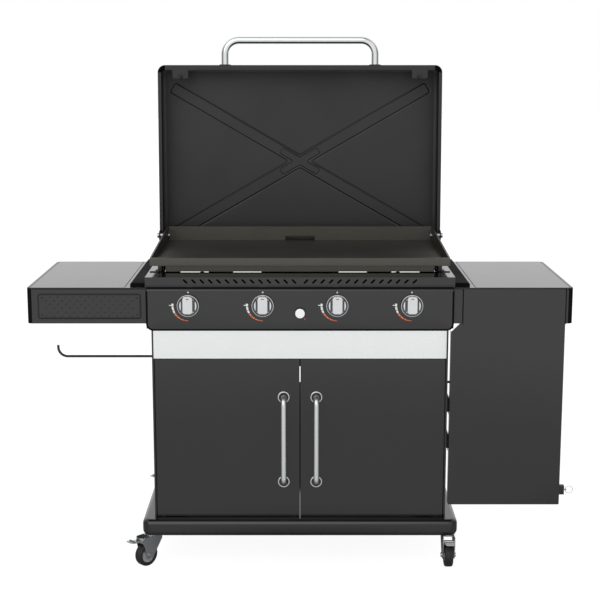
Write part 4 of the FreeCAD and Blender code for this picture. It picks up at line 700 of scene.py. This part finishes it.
def pan_wall(bm, inset):
    """One skin of the pan's turned edge, from the back round to the face."""
    roll = PANEL_ROLL - inset
    face = -PANEL_FACE - inset
    rings = [lifted(panel_ring(inset, inset), -PANEL_BACK, panel_place)]
    for step in range(7):
        angle = math.pi / 2 * step / 6
        moved = PANEL_ROLL - roll * math.cos(angle)
        rings.append(lifted(panel_ring(moved, moved), face - roll + roll * math.sin(angle), panel_place))
    return loft(bm, rings)


def control_panel():
    """Pressed pan, holed for the knob stems and the igniter; its rolled sides and lower edge take the matt
    black as painted shade.
    """
    bm = bmesh.new()
    outer = pan_wall(bm, 0)
    # Painted shade: the roll's faces below the top take the darker matt coat, standing for the shade along
    # the panel's sides and lower edge.
    for face in bm.faces:
        face.material_index = 1 if face.calc_center_median().z < PANEL_SHADE_TOP * MM else 0
    inner = pan_wall(bm, PANEL_SHEET)
    holes = [circle(middle("knob_%d" % number)[0], KNOB_HEIGHT, STEM_HOLE_R) for number in range(1, 5)]
    holes.append(circle(0, BUTTON_HEIGHT, BUTTON_HOLE_R))
    walls = [loft(bm, [lifted(hole, -PANEL_FACE - depth, panel_place) for depth in (0, PANEL_SHEET)])
             for hole in holes]
    loft(bm, [[v.co for v in outer[0]], [v.co for v in inner[0]]])
    flat_fill(bm, [outer[-1]] + [wall[0] for wall in walls])
    flat_fill(bm, [inner[-1]] + [wall[-1] for wall in walls])
    mesh = finished(bm, "control_panel_pan", angle=50)
    new_piece("control_panel_pan", mesh, (BLACK, MATT_BLACK_AND_PAINTED_SHADE), "cart",
              ("control_panel",))


RIM_FRONT = -5
RIM_ROLL_TOP = 903
RIM_LOW = 889
RIM_ROLL_IN = 4
RIM_CUTS = (890.5, 893, 896, 899, RIM_ROLL_TOP)


def vent_rim():
    """The slotted skirt of the rim, with its lower edge rolled back over the panel."""
    piece = eased("vent_rim", THIN_ROUND)
    bm = bmesh.new()
    bm.from_mesh(piece.data)
    for height in RIM_CUTS:
        everything = bm.verts[:] + bm.edges[:] + bm.faces[:]
        bmesh.ops.bisect_plane(bm, geom=everything, plane_co=cart(0, 0, height), plane_no=(0, 0, 1))
    for vertex in bm.verts:
        y = (vertex.co.y - CART_Y) / MM
        z = vertex.co.z / MM
        if z < RIM_ROLL_TOP and y < RIM_FRONT + 2:
            share = (RIM_ROLL_TOP - z) / (RIM_ROLL_TOP - RIM_LOW)
            vertex.co.y += RIM_ROLL_IN * MM * (1 - math.sqrt(max(0, 1 - share ** 2)))
    bm.to_mesh(piece.data)
    bm.free()
    shaded(piece.data, EDGE_ANGLE)


# Knobs and the marks round them

KNOB_BACK = -17
KNOB_PROFILE = ((30.5, 0), (33.2, 0.6), (34, 2.0), (34, 6.4), (33.6, 8.0), (32.7, 8.9), (31.6, 9.0),
                (31.0, 8.4), (30.8, 6.0), (27.2, 5.4), (26.8, 7.0), (26.0, 7.8), (24.6, 8.0), (8.0, 8.1))
# Radii of the skirt's groove, painted dark grey as painted shade.
GROOVE_BAND = (26.9, 31.0)
GRIP_HALF_X = 15.6
GRIP_LOW = -23
GRIP_HIGH = 31
GRIP_CORNER = 8.5
GRIP_PROFILE = ((0, 3.2), (0, 23.6), (-0.4, 24.8), (-1.2, 25.7), (-2.4, 26.0), (-4.0, 26.0))
SCOOP_NEAR = 15.6
SCOOP_FAR = 21.2
SCOOP_HALF_Z = 18
SCOOP_CORNER = 1.8
SCOOP_PROFILE = ((0, 7.6), (0, 8.4), (-0.8, 8.5), (-1.4, 8.2))
POINTER_Z = 24
POINTER_HALF = (4.6, 1.8)
POINTER_CORNER = 0.8
POINTER_PROFILE = ((0, 25.6), (0, 26.02))


def middle(node):
    """The middle of a node's box, in millimetres from the cart's middle and front edge."""
    low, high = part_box(node)
    return [(low[i] + high[i]) / 2 / MM - shift / MM for i, shift in enumerate((CART_X, CART_Y, 0))]


def bar(bm, place, outline, profile):
    """A bar raised over an outline and closed on top; profile gives (distance out, height)."""
    rings = loft(bm, [lifted(grown_outline(outline, out), height, place) for out, height in profile])
    bm.faces.new(rings[-1])


def box_outline(u0, u1, v0, v1, radius):
    """A rectangle with round corners."""
    return rounded_outline([(u0, v0, radius), (u1, v0, radius), (u1, v1, radius), (u0, v1, radius)], 5)


def knob(number):
    """Plated knob: grooved skirt, a grip bar with low pads beside it and a red pointer; the groove and the
    pads are painted dark grey as painted shade of recesses.
    """
    node = "knob_%d" % number
    x, _, z = middle(node)

    def on_knob(u, v, out):
        return cart(x + u, KNOB_BACK - out, z + v)

    bm = bmesh.new()
    rings = turned(bm, KNOB_PROFILE, on_knob)
    bm.faces.new(rings[0])
    bm.faces.new(rings[-1])
    # Painted shade: the skirt's groove takes the dark grey.
    for face in bm.faces:
        centre = face.calc_center_median()
        reach = math.hypot(centre.x - cart(x, 0, 0).x, centre.z - z * MM) / MM
        if GROOVE_BAND[0] < reach < GROOVE_BAND[1]:
            face.material_index = 2
    grip = box_outline(-GRIP_HALF_X, GRIP_HALF_X, GRIP_LOW, GRIP_HIGH, GRIP_CORNER)
    bar(bm, on_knob, grip, GRIP_PROFILE)
    shaded_scoops_start = len(bm.faces)
    # Painted shade: the low pads beside the grip take the dark grey, standing for shaded recesses.
    for near, far in ((-SCOOP_FAR, -SCOOP_NEAR), (SCOOP_NEAR, SCOOP_FAR)):
        scoop = box_outline(near, far, -SCOOP_HALF_Z, SCOOP_HALF_Z, SCOOP_CORNER)
        bar(bm, on_knob, scoop, SCOOP_PROFILE)
    painted(bm, shaded_scoops_start, 2)
    plain = len(bm.faces)
    wide, high = POINTER_HALF
    pointer = box_outline(-wide, wide, POINTER_Z - high, POINTER_Z + high, POINTER_CORNER)
    bar(bm, on_knob, pointer, POINTER_PROFILE)
    painted(bm, plain, 1)
    mesh = finished(bm, node + "_plated", angle=32)
    new_piece(node + "_plated", mesh, (KNOB_SILVER, RED_INK, KNOB_PAINTED_SHADE), node, (node,))


SCALE_RADIUS = 47.5
SCALE_PARTS = ((174, 184, 6.2, 6.2), (186, 197.5, 6.0, 5.6), (199.5, 209.5, 5.4, 5.0),
               (211.5, 224, 4.8, 4.2), (226, 239, 4.0, 3.3), (241, 255, 3.1, 2.4), (257, 270, 2.2, 1.4))
WHITE_PARTS = 3
DOT_RISE = 39.5
DOT_R = 2.3
TICK = (-57.5, -51.3, -1.2, 1.2, 0.5)
SPARK = ((11.5, -17), (14.5, -15.2), (13.4, -18), (16.5, -16.4), (12.6, -21.5), (13.2, -18.6))
INK_OUT = 12.12


def panel_marks():
    """Printed on the panel: a dot, a tick and a narrowing scale at each knob, and a spark at the button."""
    white = bmesh.new()
    orange = bmesh.new()
    for number in range(1, 5):
        x, _, z = middle("knob_%d" % number)

        def on_panel(u, v, out):
            return cart(x + u, -INK_OUT - out, z + v)

        dot = circle(0, DOT_RISE, DOT_R, 24)
        white.faces.new([white.verts.new(p) for p in lifted(dot, 0, on_panel)])
        tick = box_outline(*TICK)
        white.faces.new([white.verts.new(p) for p in lifted(tick, 0, on_panel)])
        for part, (start, stop, wide, narrow) in enumerate(SCALE_PARTS):
            ink = white if part < WHITE_PARTS else orange
            inner = []
            outer = []
            for step in range(9):
                angle = math.radians(start + (stop - start) * step / 8)
                half = (wide + (narrow - wide) * step / 8) / 2
                for radius, side in ((SCALE_RADIUS - half, inner), (SCALE_RADIUS + half, outer)):
                    place = on_panel(radius * math.cos(angle), radius * math.sin(angle), 0)
                    side.append(ink.verts.new(place))
            for step in range(8):
                ink.faces.new((inner[step], inner[step + 1], outer[step + 1], outer[step]))
    x, _, z = middle("igniter_button")
    orange.faces.new([orange.verts.new(cart(x + u, -INK_OUT, z + v)) for u, v in SPARK])
    for name, bm, ink in (("panel_white_marks", white, WHITE_INK),
                          ("panel_orange_marks", orange, ORANGE_INK)):
        for face in bm.faces:
            face.normal_update()
            if face.normal.y > 0:
                face.normal_flip()
        mesh = finished(bm, name, outwards=False)
        new_piece(name, mesh, ink, "cart")


control_panel()
vent_rim()
for number in range(1, 5):
    knob(number)
panel_marks()


# Casters

CASTERS = {"front_left": (-465, 40, -135), "front_right": (465, 40, -90),
           "rear_left": (-465, 700, -135), "rear_right": (465, 700, -90)}
TRAIL = 26
AXLE_HEIGHT = 37
TYRE_PROFILE = ((24.6, -8.5), (25.2, -12.9), (26.4, -13.5), (30.5, -13.5), (33.6, -12.6), (35.8, -10.6),
                (36.8, -7.8), (37, -5.2), (36.5, -4.6), (37, -4.0), (37, 4.0), (36.5, 4.6), (37, 5.2),
                (36.8, 7.8), (35.8, 10.6), (33.6, 12.6), (30.5, 13.5), (26.4, 13.5), (25.2, 12.9),
                (24.6, 8.5))
HUB_PROFILE = ((4.1, -16), (8.8, -16), (9.6, -15.2), (10, -11), (11.5, -9.8), (20.5, -8.9), (22.5, -10.2),
               (24.6, -10.4), (24.6, 10.4), (22.5, 10.2), (20.5, 8.9), (11.5, 9.8), (10, 11), (9.6, 15.2),
               (8.8, 16), (4.1, 16))


def caster_place(name):
    """A place on a caster's fork, with its swivel axis at zero and its trail along x."""
    x, y, turn = CASTERS[name]

    def on_fork(u, v, up):
        spun = Matrix.Rotation(math.radians(turn), 2) @ Vector((u, v))
        return cart(x + spun.x, y + spun.y, up)
    return on_fork


def wheel(name):
    """Rubber tyre with two fine tread lines on a dished grey hub."""
    on_fork = caster_place(name)

    def on_axle(u, v, along):
        return on_fork(TRAIL + u, along, AXLE_HEIGHT + v)

    for part, profile, finish, slot in (("tyre", TYRE_PROFILE, TYRE, "tyre_rubber"),
                                        ("hub", HUB_PROFILE, HUB, "zinc_plated_steel")):
        bm = bmesh.new()
        turned_ring(bm, profile, on_axle)
        mesh = finished(bm, "%s_%s" % (part, name), angle=40)
        stands_for = ("wheel_" + name,) if part == "tyre" else ()
        new_piece("%s_%s" % (part, name), mesh, finish, "wheel_" + name, stands_for)


for name in CASTERS:
    wheel(name)
    eased("caster_fork_" + name, FOLD_ROUND)
    eased("brake_pedal_" + name, FOLD_ROUND)


# Plate on the left shelf's apron

PLATE_LEFT = -793
PLATE_RIGHT = -480
PLATE_LOW = 794
PLATE_TOP = 872
PLATE_CORNER = 7.5
PLATE_PROFILE = ((0, 0), (0, 1.0), (-0.8, 1.9), (-1.6, 2.0), (-2.4, 1.2), (-3.2, 0.4), (-4.0, 0.5),
                 (-4.8, 1.2), (-6.5, 1.2))
PLATE_FACE = 1.2
PLATE_SCREW_INSET = 13
MARK_PITCH = 23.7
MARK_ROW = 11.6
MARK_ROWS = 6
MARKS_IN_ROW = 12
MARK_SLANT = 45
MARK_SIZES = {"Length": 8.5 * MM, "Width": 4.6 * MM, "Height": 2.6 * MM}


def apron_plate():
    """Thin plate with a beaded and grooved border."""
    bm = bmesh.new()
    outline = box_outline(PLATE_LEFT, PLATE_RIGHT, PLATE_LOW, PLATE_TOP, PLATE_CORNER)
    bar(bm, panel_place, outline, PLATE_PROFILE)
    mesh = finished(bm, "apron_plate_beaded", angle=25)
    new_piece("apron_plate_beaded", mesh, BLACK, "cart", ("apron_plate",))


def apron_marks():
    """Six staggered rows of slanted raised ovals, leaning the other way in every second row."""
    middle_x = (PLATE_LEFT + PLATE_RIGHT) / 2
    middle_z = (PLATE_LOW + PLATE_TOP) / 2
    for side in (0, 1):
        count = MARKS_IN_ROW - side
        places = []
        for row in range(side, MARK_ROWS, 2):
            for index in range(count):
                x = middle_x + (index - (count - 1) / 2) * MARK_PITCH
                places.append(cart(x, -PLATE_FACE, middle_z + (row - (MARK_ROWS - 1) / 2) * MARK_ROW))
        slant = math.radians(MARK_SLANT if side else -MARK_SLANT)
        repeated("apron_marks_%d" % side, OVALS, places, (0, -1, 0), dict(MARK_SIZES, Slant=slant), BLACK,
                 "cart")


apron_plate()
apron_marks()


# Screws

SCREW_R = 4.2
SCREW_HEIGHT = 1.6
PLATE_SCREW_R = 3.4
SIDE_SCREW_X = 455.2
SIDE_SCREW_ROWS = (176, 741)
SIDE_SCREW_PLACES = (96, 230, 420, 580)
BACK_SCREW_Y = 640.2
BACK_SCREW_ROWS = (512, 750)
BACK_SCREW_PLACES = (-430, -215, 0, 215, 430)
BOX_SCREW_Y = 636.2
BOX_SCREW_ROWS = (782, 905)
BOX_SCREW_PLACES = (-440, 440)


def screws(name, places, facing, radius=SCREW_R, finish=ZINC):
    """Pan head screws on one face of the cart."""
    repeated(name, SCREWS, [cart(*place) for place in places], facing,
             {"Radius": radius * MM, "Height": SCREW_HEIGHT * MM}, finish, "cart")


screws("apron_plate_screws",
       [(x, -PLATE_FACE, z) for x in (PLATE_LEFT + PLATE_SCREW_INSET, PLATE_RIGHT - PLATE_SCREW_INSET)
        for z in (PLATE_LOW + PLATE_SCREW_INSET, PLATE_TOP - PLATE_SCREW_INSET)],
       (0, -1, 0), PLATE_SCREW_R, BLACK)
for name, side in (("left", -1), ("right", 1)):
    screws("cabinet_%s_screws" % name,
           [(side * SIDE_SCREW_X, y, z) for z in SIDE_SCREW_ROWS for y in SIDE_SCREW_PLACES], (side, 0, 0))
screws("back_panel_screws", [(x, BACK_SCREW_Y, z) for z in BACK_SCREW_ROWS for x in BACK_SCREW_PLACES],
       (0, 1, 0))
screws("fire_box_screws", [(x, BOX_SCREW_Y, z) for z in BOX_SCREW_ROWS for x in BOX_SCREW_PLACES],
       (0, 1, 0))


# Burner ports

PORTS_IN_ROW = 40
PORT_START = 118
PORT_PITCH = 12
PORT_ASIDE = 11.2
PORT_HEIGHT = 842
PORT_LEAN = (0.7, 0.72)
PORT_SIZES = {"Length": 3.2 * MM, "Width": 3.2 * MM, "Height": 0.5 * MM, "Slant": 0.0}


def burner_ports():
    """Two rows of small ports along each burner, drawn as low black ovals whose black is painted shade of
    the holes.
    """
    for side in (-1, 1):
        places = []
        for number in range(1, 5):
            x = middle("knob_%d" % number)[0]
            for index in range(PORTS_IN_ROW):
                places.append(cart(x + side * PORT_ASIDE, PORT_START + index * PORT_PITCH, PORT_HEIGHT))
        repeated("burner_ports_%d" % (side + 1), OVALS, places, (side * PORT_LEAN[0], 0, PORT_LEAN[1]),
                 PORT_SIZES, BLACK_PLASTIC_AND_PAINTED_SHADE, "cart")


burner_ports()


# Handles

LID_FLANGE = 4.2


def split_finish(node, width, finishes, test):
    """An eased node whose faces chosen by the test take the second finish."""
    mesh = eased(node, width).data
    mesh.materials.clear()
    for finish in finishes:
        mesh.materials.append(finish)
    for face in mesh.polygons:
        face.material_index = 1 if test(face.center) else 0


def on_lid_bezel(place):
    """True on the two black flanges between the handle and the lid's front wall."""
    return lid_closed(place).y > -LID_REACH - LID_FLANGE


split_finish("lid_handle", FOLD_ROUND, (CHROME, BLACK_PLASTIC_AND_PAINTED_SHADE), on_lid_bezel)


# Door handles: a domed ring round a dark cap at each end; the cap's dark is painted shade

CAP_R = 18.5
CAP_FRONT = 32
CAP_THICK = 4
CAP_MARGIN = 0.5
RING_STEPS = 48
RING_PROFILE = ((18.7, 0.3), (18.7, 4.4), (18.2, 5.4), (17.1, 6.0), (15.9, 6.0), (14.7, 5.3), (14.0, 4.2),
                (13.7, 3.0), (13.7, 0.3))


def on_cap(place):
    """True on the end plates against the door, which take the black as painted shade inside the rings."""
    return (place.y - CART_Y) / MM > CAP_FRONT - CAP_MARGIN


def cap_rings(node):
    """The two domed rings of a door handle."""
    x, _, _ = middle(node)
    low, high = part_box(node)
    bm = bmesh.new()
    for z in (low[2] / MM + CAP_R, high[2] / MM - CAP_R):

        def on_door(u, v, out):
            return cart(x + u, CAP_FRONT + CAP_THICK - out, z + v)

        turned_ring(bm, RING_PROFILE, on_door, RING_STEPS)
    mesh = finished(bm, node + "_rings", angle=50)
    new_piece(node + "_rings", mesh, HANDLE_STEEL, NODE_BODY[node])


for node in ("door_left_handle", "door_right_handle"):
    # Painted shade: the end plates inside the rings take the black finish.
    split_finish(node, PRESS_ROUND, (HANDLE_STEEL, BLACK_PLASTIC_AND_PAINTED_SHADE), on_cap)
    cap_rings(node)


# Shelves: matt black as painted shade in the line round the centre panel and on the front corner, and matt
# black on the rolled front edge

SHELF_LINE = (888.1, 888.6)
SHELF_TOP = 889
SHELF_INNER = 467
SHELF_OUTER = 826
SHELF_CORNER = 15
CORNER_SHADE = 14
CORNER_DEPTH = 10
EDGE_R = 3
EDGE_INSET = 2.6
APRON_LOW = 780
COVER_EDGES = (493, 803.5)
COVER_HEM_R = 1.9
COVER_HEM_INSET = 1.2


def on_shelf_line(place):
    """True where the shelf takes painted shade: in the shallow line round its centre panel, and on its
    rounded front corner.
    """
    reach = abs(place.x - CART_X) / MM
    depth = (place.y - CART_Y) / MM
    corner = reach > SHELF_OUTER - CORNER_SHADE and depth < CORNER_DEPTH
    return SHELF_LINE[0] < place.z / MM < SHELF_LINE[1] or corner


def swept(bm, path, sections, steps=10):
    """A bead along a path; sections are the two half widths across it at each point, as vectors."""
    rings = []
    for point, (across, up) in zip(path, sections):
        angles = [2 * math.pi * step / steps for step in range(steps)]
        rings.append([point + across * math.cos(a) + up * math.sin(a) for a in angles])
    made = loft(bm, rings)
    bm.faces.new(made[0])
    bm.faces.new(made[-1])


def shelf_edge(name, side):
    """The rolled front edge of a shelf, round to its outer side."""
    outer = SHELF_OUTER - EDGE_R
    front = EDGE_INSET
    corners = rounded_outline([(SHELF_INNER, front, 0), (outer, front, SHELF_CORNER),
                               (outer, front + SHELF_CORNER + 1, 0)], 6)
    path = [cart(side * u, v, SHELF_TOP - EDGE_INSET) for u, v in corners]
    sections = []
    for index in range(len(path)):
        along = (path[min(index + 1, len(path) - 1)] - path[max(index - 1, 0)]).normalized()
        across = along.cross(Vector((0, 0, 1)))
        sections.append((across * EDGE_R * MM, Vector((0, 0, EDGE_R * MM))))
    bm = bmesh.new()
    swept(bm, path, sections)
    mesh = finished(bm, name + "_edge", angle=60)
    new_piece(name + "_edge", mesh, MATT_BLACK_AND_PAINTED_SHADE, "cart")


for name, side in (("left_shelf", -1), ("right_shelf", 1)):
    # Painted shade: the line and the front corner take the matt black.
    split_finish(name, THIN_ROUND, (BLACK, MATT_BLACK_AND_PAINTED_SHADE), on_shelf_line)
    shelf_edge(name, side)


def cover_edges():
    """Hemmed upright edges of the tank cover, where it lies on the right shelf's apron, in matt black as
    painted shade of the gap at its edges.
    """
    low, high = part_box("tank_cover")
    front = (low[1] - CART_Y) / MM
    bm = bmesh.new()
    for x in COVER_EDGES:
        path = [cart(x, front + COVER_HEM_INSET, z) for z in (APRON_LOW - 2, SHELF_TOP - 4)]
        swept(bm, path, [(Vector((COVER_HEM_R * MM, 0, 0)), Vector((0, COVER_HEM_R * MM, 0)))] * 2)
    mesh = finished(bm, "tank_cover_hems", angle=60)
    # Painted shade: the hems take the matt black, standing for the shadow gap along the cover's edges.
    new_piece("tank_cover_hems", mesh, MATT_BLACK_AND_PAINTED_SHADE, "cart")


cover_edges()


# Fire box: the folded lower edge of each opening in its rear wall

OPENING_PITCH = 184
OPENING_HALF = 51
OPENING_HEM = (635, 830.6)
OPENING_HEM_HALF = (1.6, 3.8)


def opening_hems():
    """A flattened hem along the lower edge of the four rear openings."""
    y, z = OPENING_HEM
    thick, high = OPENING_HEM_HALF
    bm = bmesh.new()
    for number in (-2, -1, 1, 2):
        x = number * OPENING_PITCH
        path = [cart(x - OPENING_HALF, y, z), cart(x + OPENING_HALF, y, z)]
        swept(bm, path, [(Vector((0, thick * MM, 0)), Vector((0, 0, high * MM)))] * 2)
    mesh = finished(bm, "rear_opening_hems", angle=60)
    new_piece("rear_opening_hems", mesh, BLACK, "cart")


opening_hems()


# Floor, light and camera; the ranges say how much of the white the metal mirrors from each side

FLOOR_REACH = 30.0
FLOOR_LOW = "#6a6a6a"
FLOOR_HIGH = "#6e6e6e"
FLOOR_SEEN = 0.93
FLOOR_CLOUD = 400
UNDER_CART = {"From Min": 0.42, "From Max": 0.85, "To Min": 0.1, "To Max": 0.6}
FURTHER_OUT = {"From Min": 2.2, "From Max": 3.6, "To Min": 0.0, "To Max": 0.26}
TO_THE_SIDES = {"From Min": 0.58, "From Max": 1.0, "To Min": 1.0, "To Max": 0.22}
OVERHEAD = {"From Min": 0.6, "From Max": 0.95, "To Min": 1.0, "To Max": 0.2}
BEHIND = {"From Min": -0.05, "From Max": 0.2, "To Min": 0.0, "To Max": 1.0}
WHITE = (1.0, 1.0, 1.0, 1.0)
LAMP_POWER = 0.8
LAMP_SPREAD = 60
LAMP_TURN = (50, 0, -25)
CAMERA_PLACE = (0, -3960, 1580)
CAMERA_DOWN = 10.41
CAMERA_LENS = 80
CAMERA_FILM = 36
CAMERA_SIGHT = 100


def floor():
    """A plain pale floor, wide enough for every view, evenly white where seen straight on; its glow as
    mirrored and as light on the cart is darker near the cart, a painted shadow, and aside.
    """
    mesh = bpy.data.meshes.new("floor")
    corners = [(FLOOR_REACH * x, FLOOR_REACH * y, 0) for x, y in ((-1, -1), (1, -1), (1, 1), (-1, 1))]
    mesh.from_pydata(corners, [], [(0, 1, 2, 3)])
    piece = bpy.data.objects.new("floor", mesh)
    bpy.context.scene.collection.objects.link(piece)
    material, tree, place, shader = new_finish("matt_white_floor")
    cloud = add(tree, "ShaderNodeTexNoise",
                {"Vector": place, "Scale": per_metre(FLOOR_CLOUD), "Detail": 2.0})
    seen = add(tree, "ShaderNodeLightPath").outputs["Is Camera Ray"]
    away = add(tree, "ShaderNodeVectorMath", {0: place}, operation="LENGTH").outputs["Value"]
    # Painted shadow: the floor's glow falls off near the cart's middle.
    under = add(tree, "ShaderNodeMapRange", dict(UNDER_CART, Value=away)).outputs["Result"]
    further = add(tree, "ShaderNodeMapRange", dict(FURTHER_OUT, Value=away)).outputs["Result"]
    spread = add(tree, "ShaderNodeMath", {0: under, 1: further}, operation="ADD").outputs[0]
    parts = add(tree, "ShaderNodeSeparateXYZ", {"Vector": place}).outputs
    beside = add(tree, "ShaderNodeMath", {0: parts["X"]}, operation="ABSOLUTE").outputs[0]
    share = add(tree, "ShaderNodeMath", {0: beside, 1: away}, operation="DIVIDE").outputs[0]
    sides = add(tree, "ShaderNodeMapRange", dict(TO_THE_SIDES, Value=share)).outputs["Result"]
    shade = add(tree, "ShaderNodeMath", {0: spread, 1: sides}, operation="MULTIPLY").outputs[0]
    glow = add(tree, "ShaderNodeMix", {"Factor": seen, 2: shade, 3: FLOOR_SEEN})
    tint = add(tree, "ShaderNodeMix",
               {"Factor": cloud.outputs["Fac"], 6: colour(FLOOR_LOW), 7: colour(FLOOR_HIGH)},
               data_type="RGBA")
    feed(tree, shader, Base_Color=tint.outputs[2], Emission_Strength=glow.outputs[0])
    set_all(shader, Roughness=0.9, Emission_Color=WHITE)
    mesh.materials.append(material)


def studio_light():
    """White surroundings, mirrored darker from the sides and from overhead in front, and one soft lamp."""
    world = bpy.data.worlds.new("studio")
    bpy.context.scene.world = world
    world.use_nodes = True
    tree = world.node_tree
    tree.nodes.clear()
    place = add(tree, "ShaderNodeTexCoord").outputs["Generated"]
    parts = add(tree, "ShaderNodeSeparateXYZ", {"Vector": place}).outputs
    side = add(tree, "ShaderNodeMath", {0: parts["X"]}, operation="ABSOLUTE").outputs[0]
    walls = add(tree, "ShaderNodeMapRange", dict(TO_THE_SIDES, Value=side)).outputs["Result"]
    over = add(tree, "ShaderNodeMapRange", dict(OVERHEAD, Value=parts["Z"])).outputs["Result"]
    behind = add(tree, "ShaderNodeMapRange", dict(BEHIND, Value=parts["Y"])).outputs["Result"]
    ceiling = add(tree, "ShaderNodeMath", {0: over, 1: behind}, operation="MAXIMUM").outputs[0]
    shade = add(tree, "ShaderNodeMath", {0: walls, 1: ceiling}, operation="MULTIPLY").outputs[0]
    seen = add(tree, "ShaderNodeLightPath").outputs["Is Camera Ray"]
    level = add(tree, "ShaderNodeMix", {"Factor": seen, 2: shade, 3: 1.0})
    glow = add(tree, "ShaderNodeBackground", {"Color": WHITE, "Strength": level.outputs[0]})
    add(tree, "ShaderNodeOutputWorld", {"Surface": glow.outputs["Background"]})
    lamp = bpy.data.lights.new("soft_lamp", "SUN")
    lamp.energy = LAMP_POWER
    lamp.angle = math.radians(LAMP_SPREAD)
    stand = bpy.data.objects.new("soft_lamp", lamp)
    stand.rotation_euler = [math.radians(turn) for turn in LAMP_TURN]
    bpy.context.scene.collection.objects.link(stand)


def camera():
    """The eye stands 4 m in front of the middle and 1.58 m up, and looks a little down."""
    data = bpy.data.cameras.new("camera")
    data.lens = CAMERA_LENS
    data.sensor_width = CAMERA_FILM
    data.clip_end = CAMERA_SIGHT
    eye = bpy.data.objects.new("camera", data)
    bpy.context.scene.collection.objects.link(eye)
    eye.location = cart(*CAMERA_PLACE)
    eye.rotation_euler = (math.radians(90 - CAMERA_DOWN), 0, 0)
    bpy.context.scene.camera = eye


floor()
studio_light()
camera()
bpy.context.scene.view_settings.view_transform = "Standard"
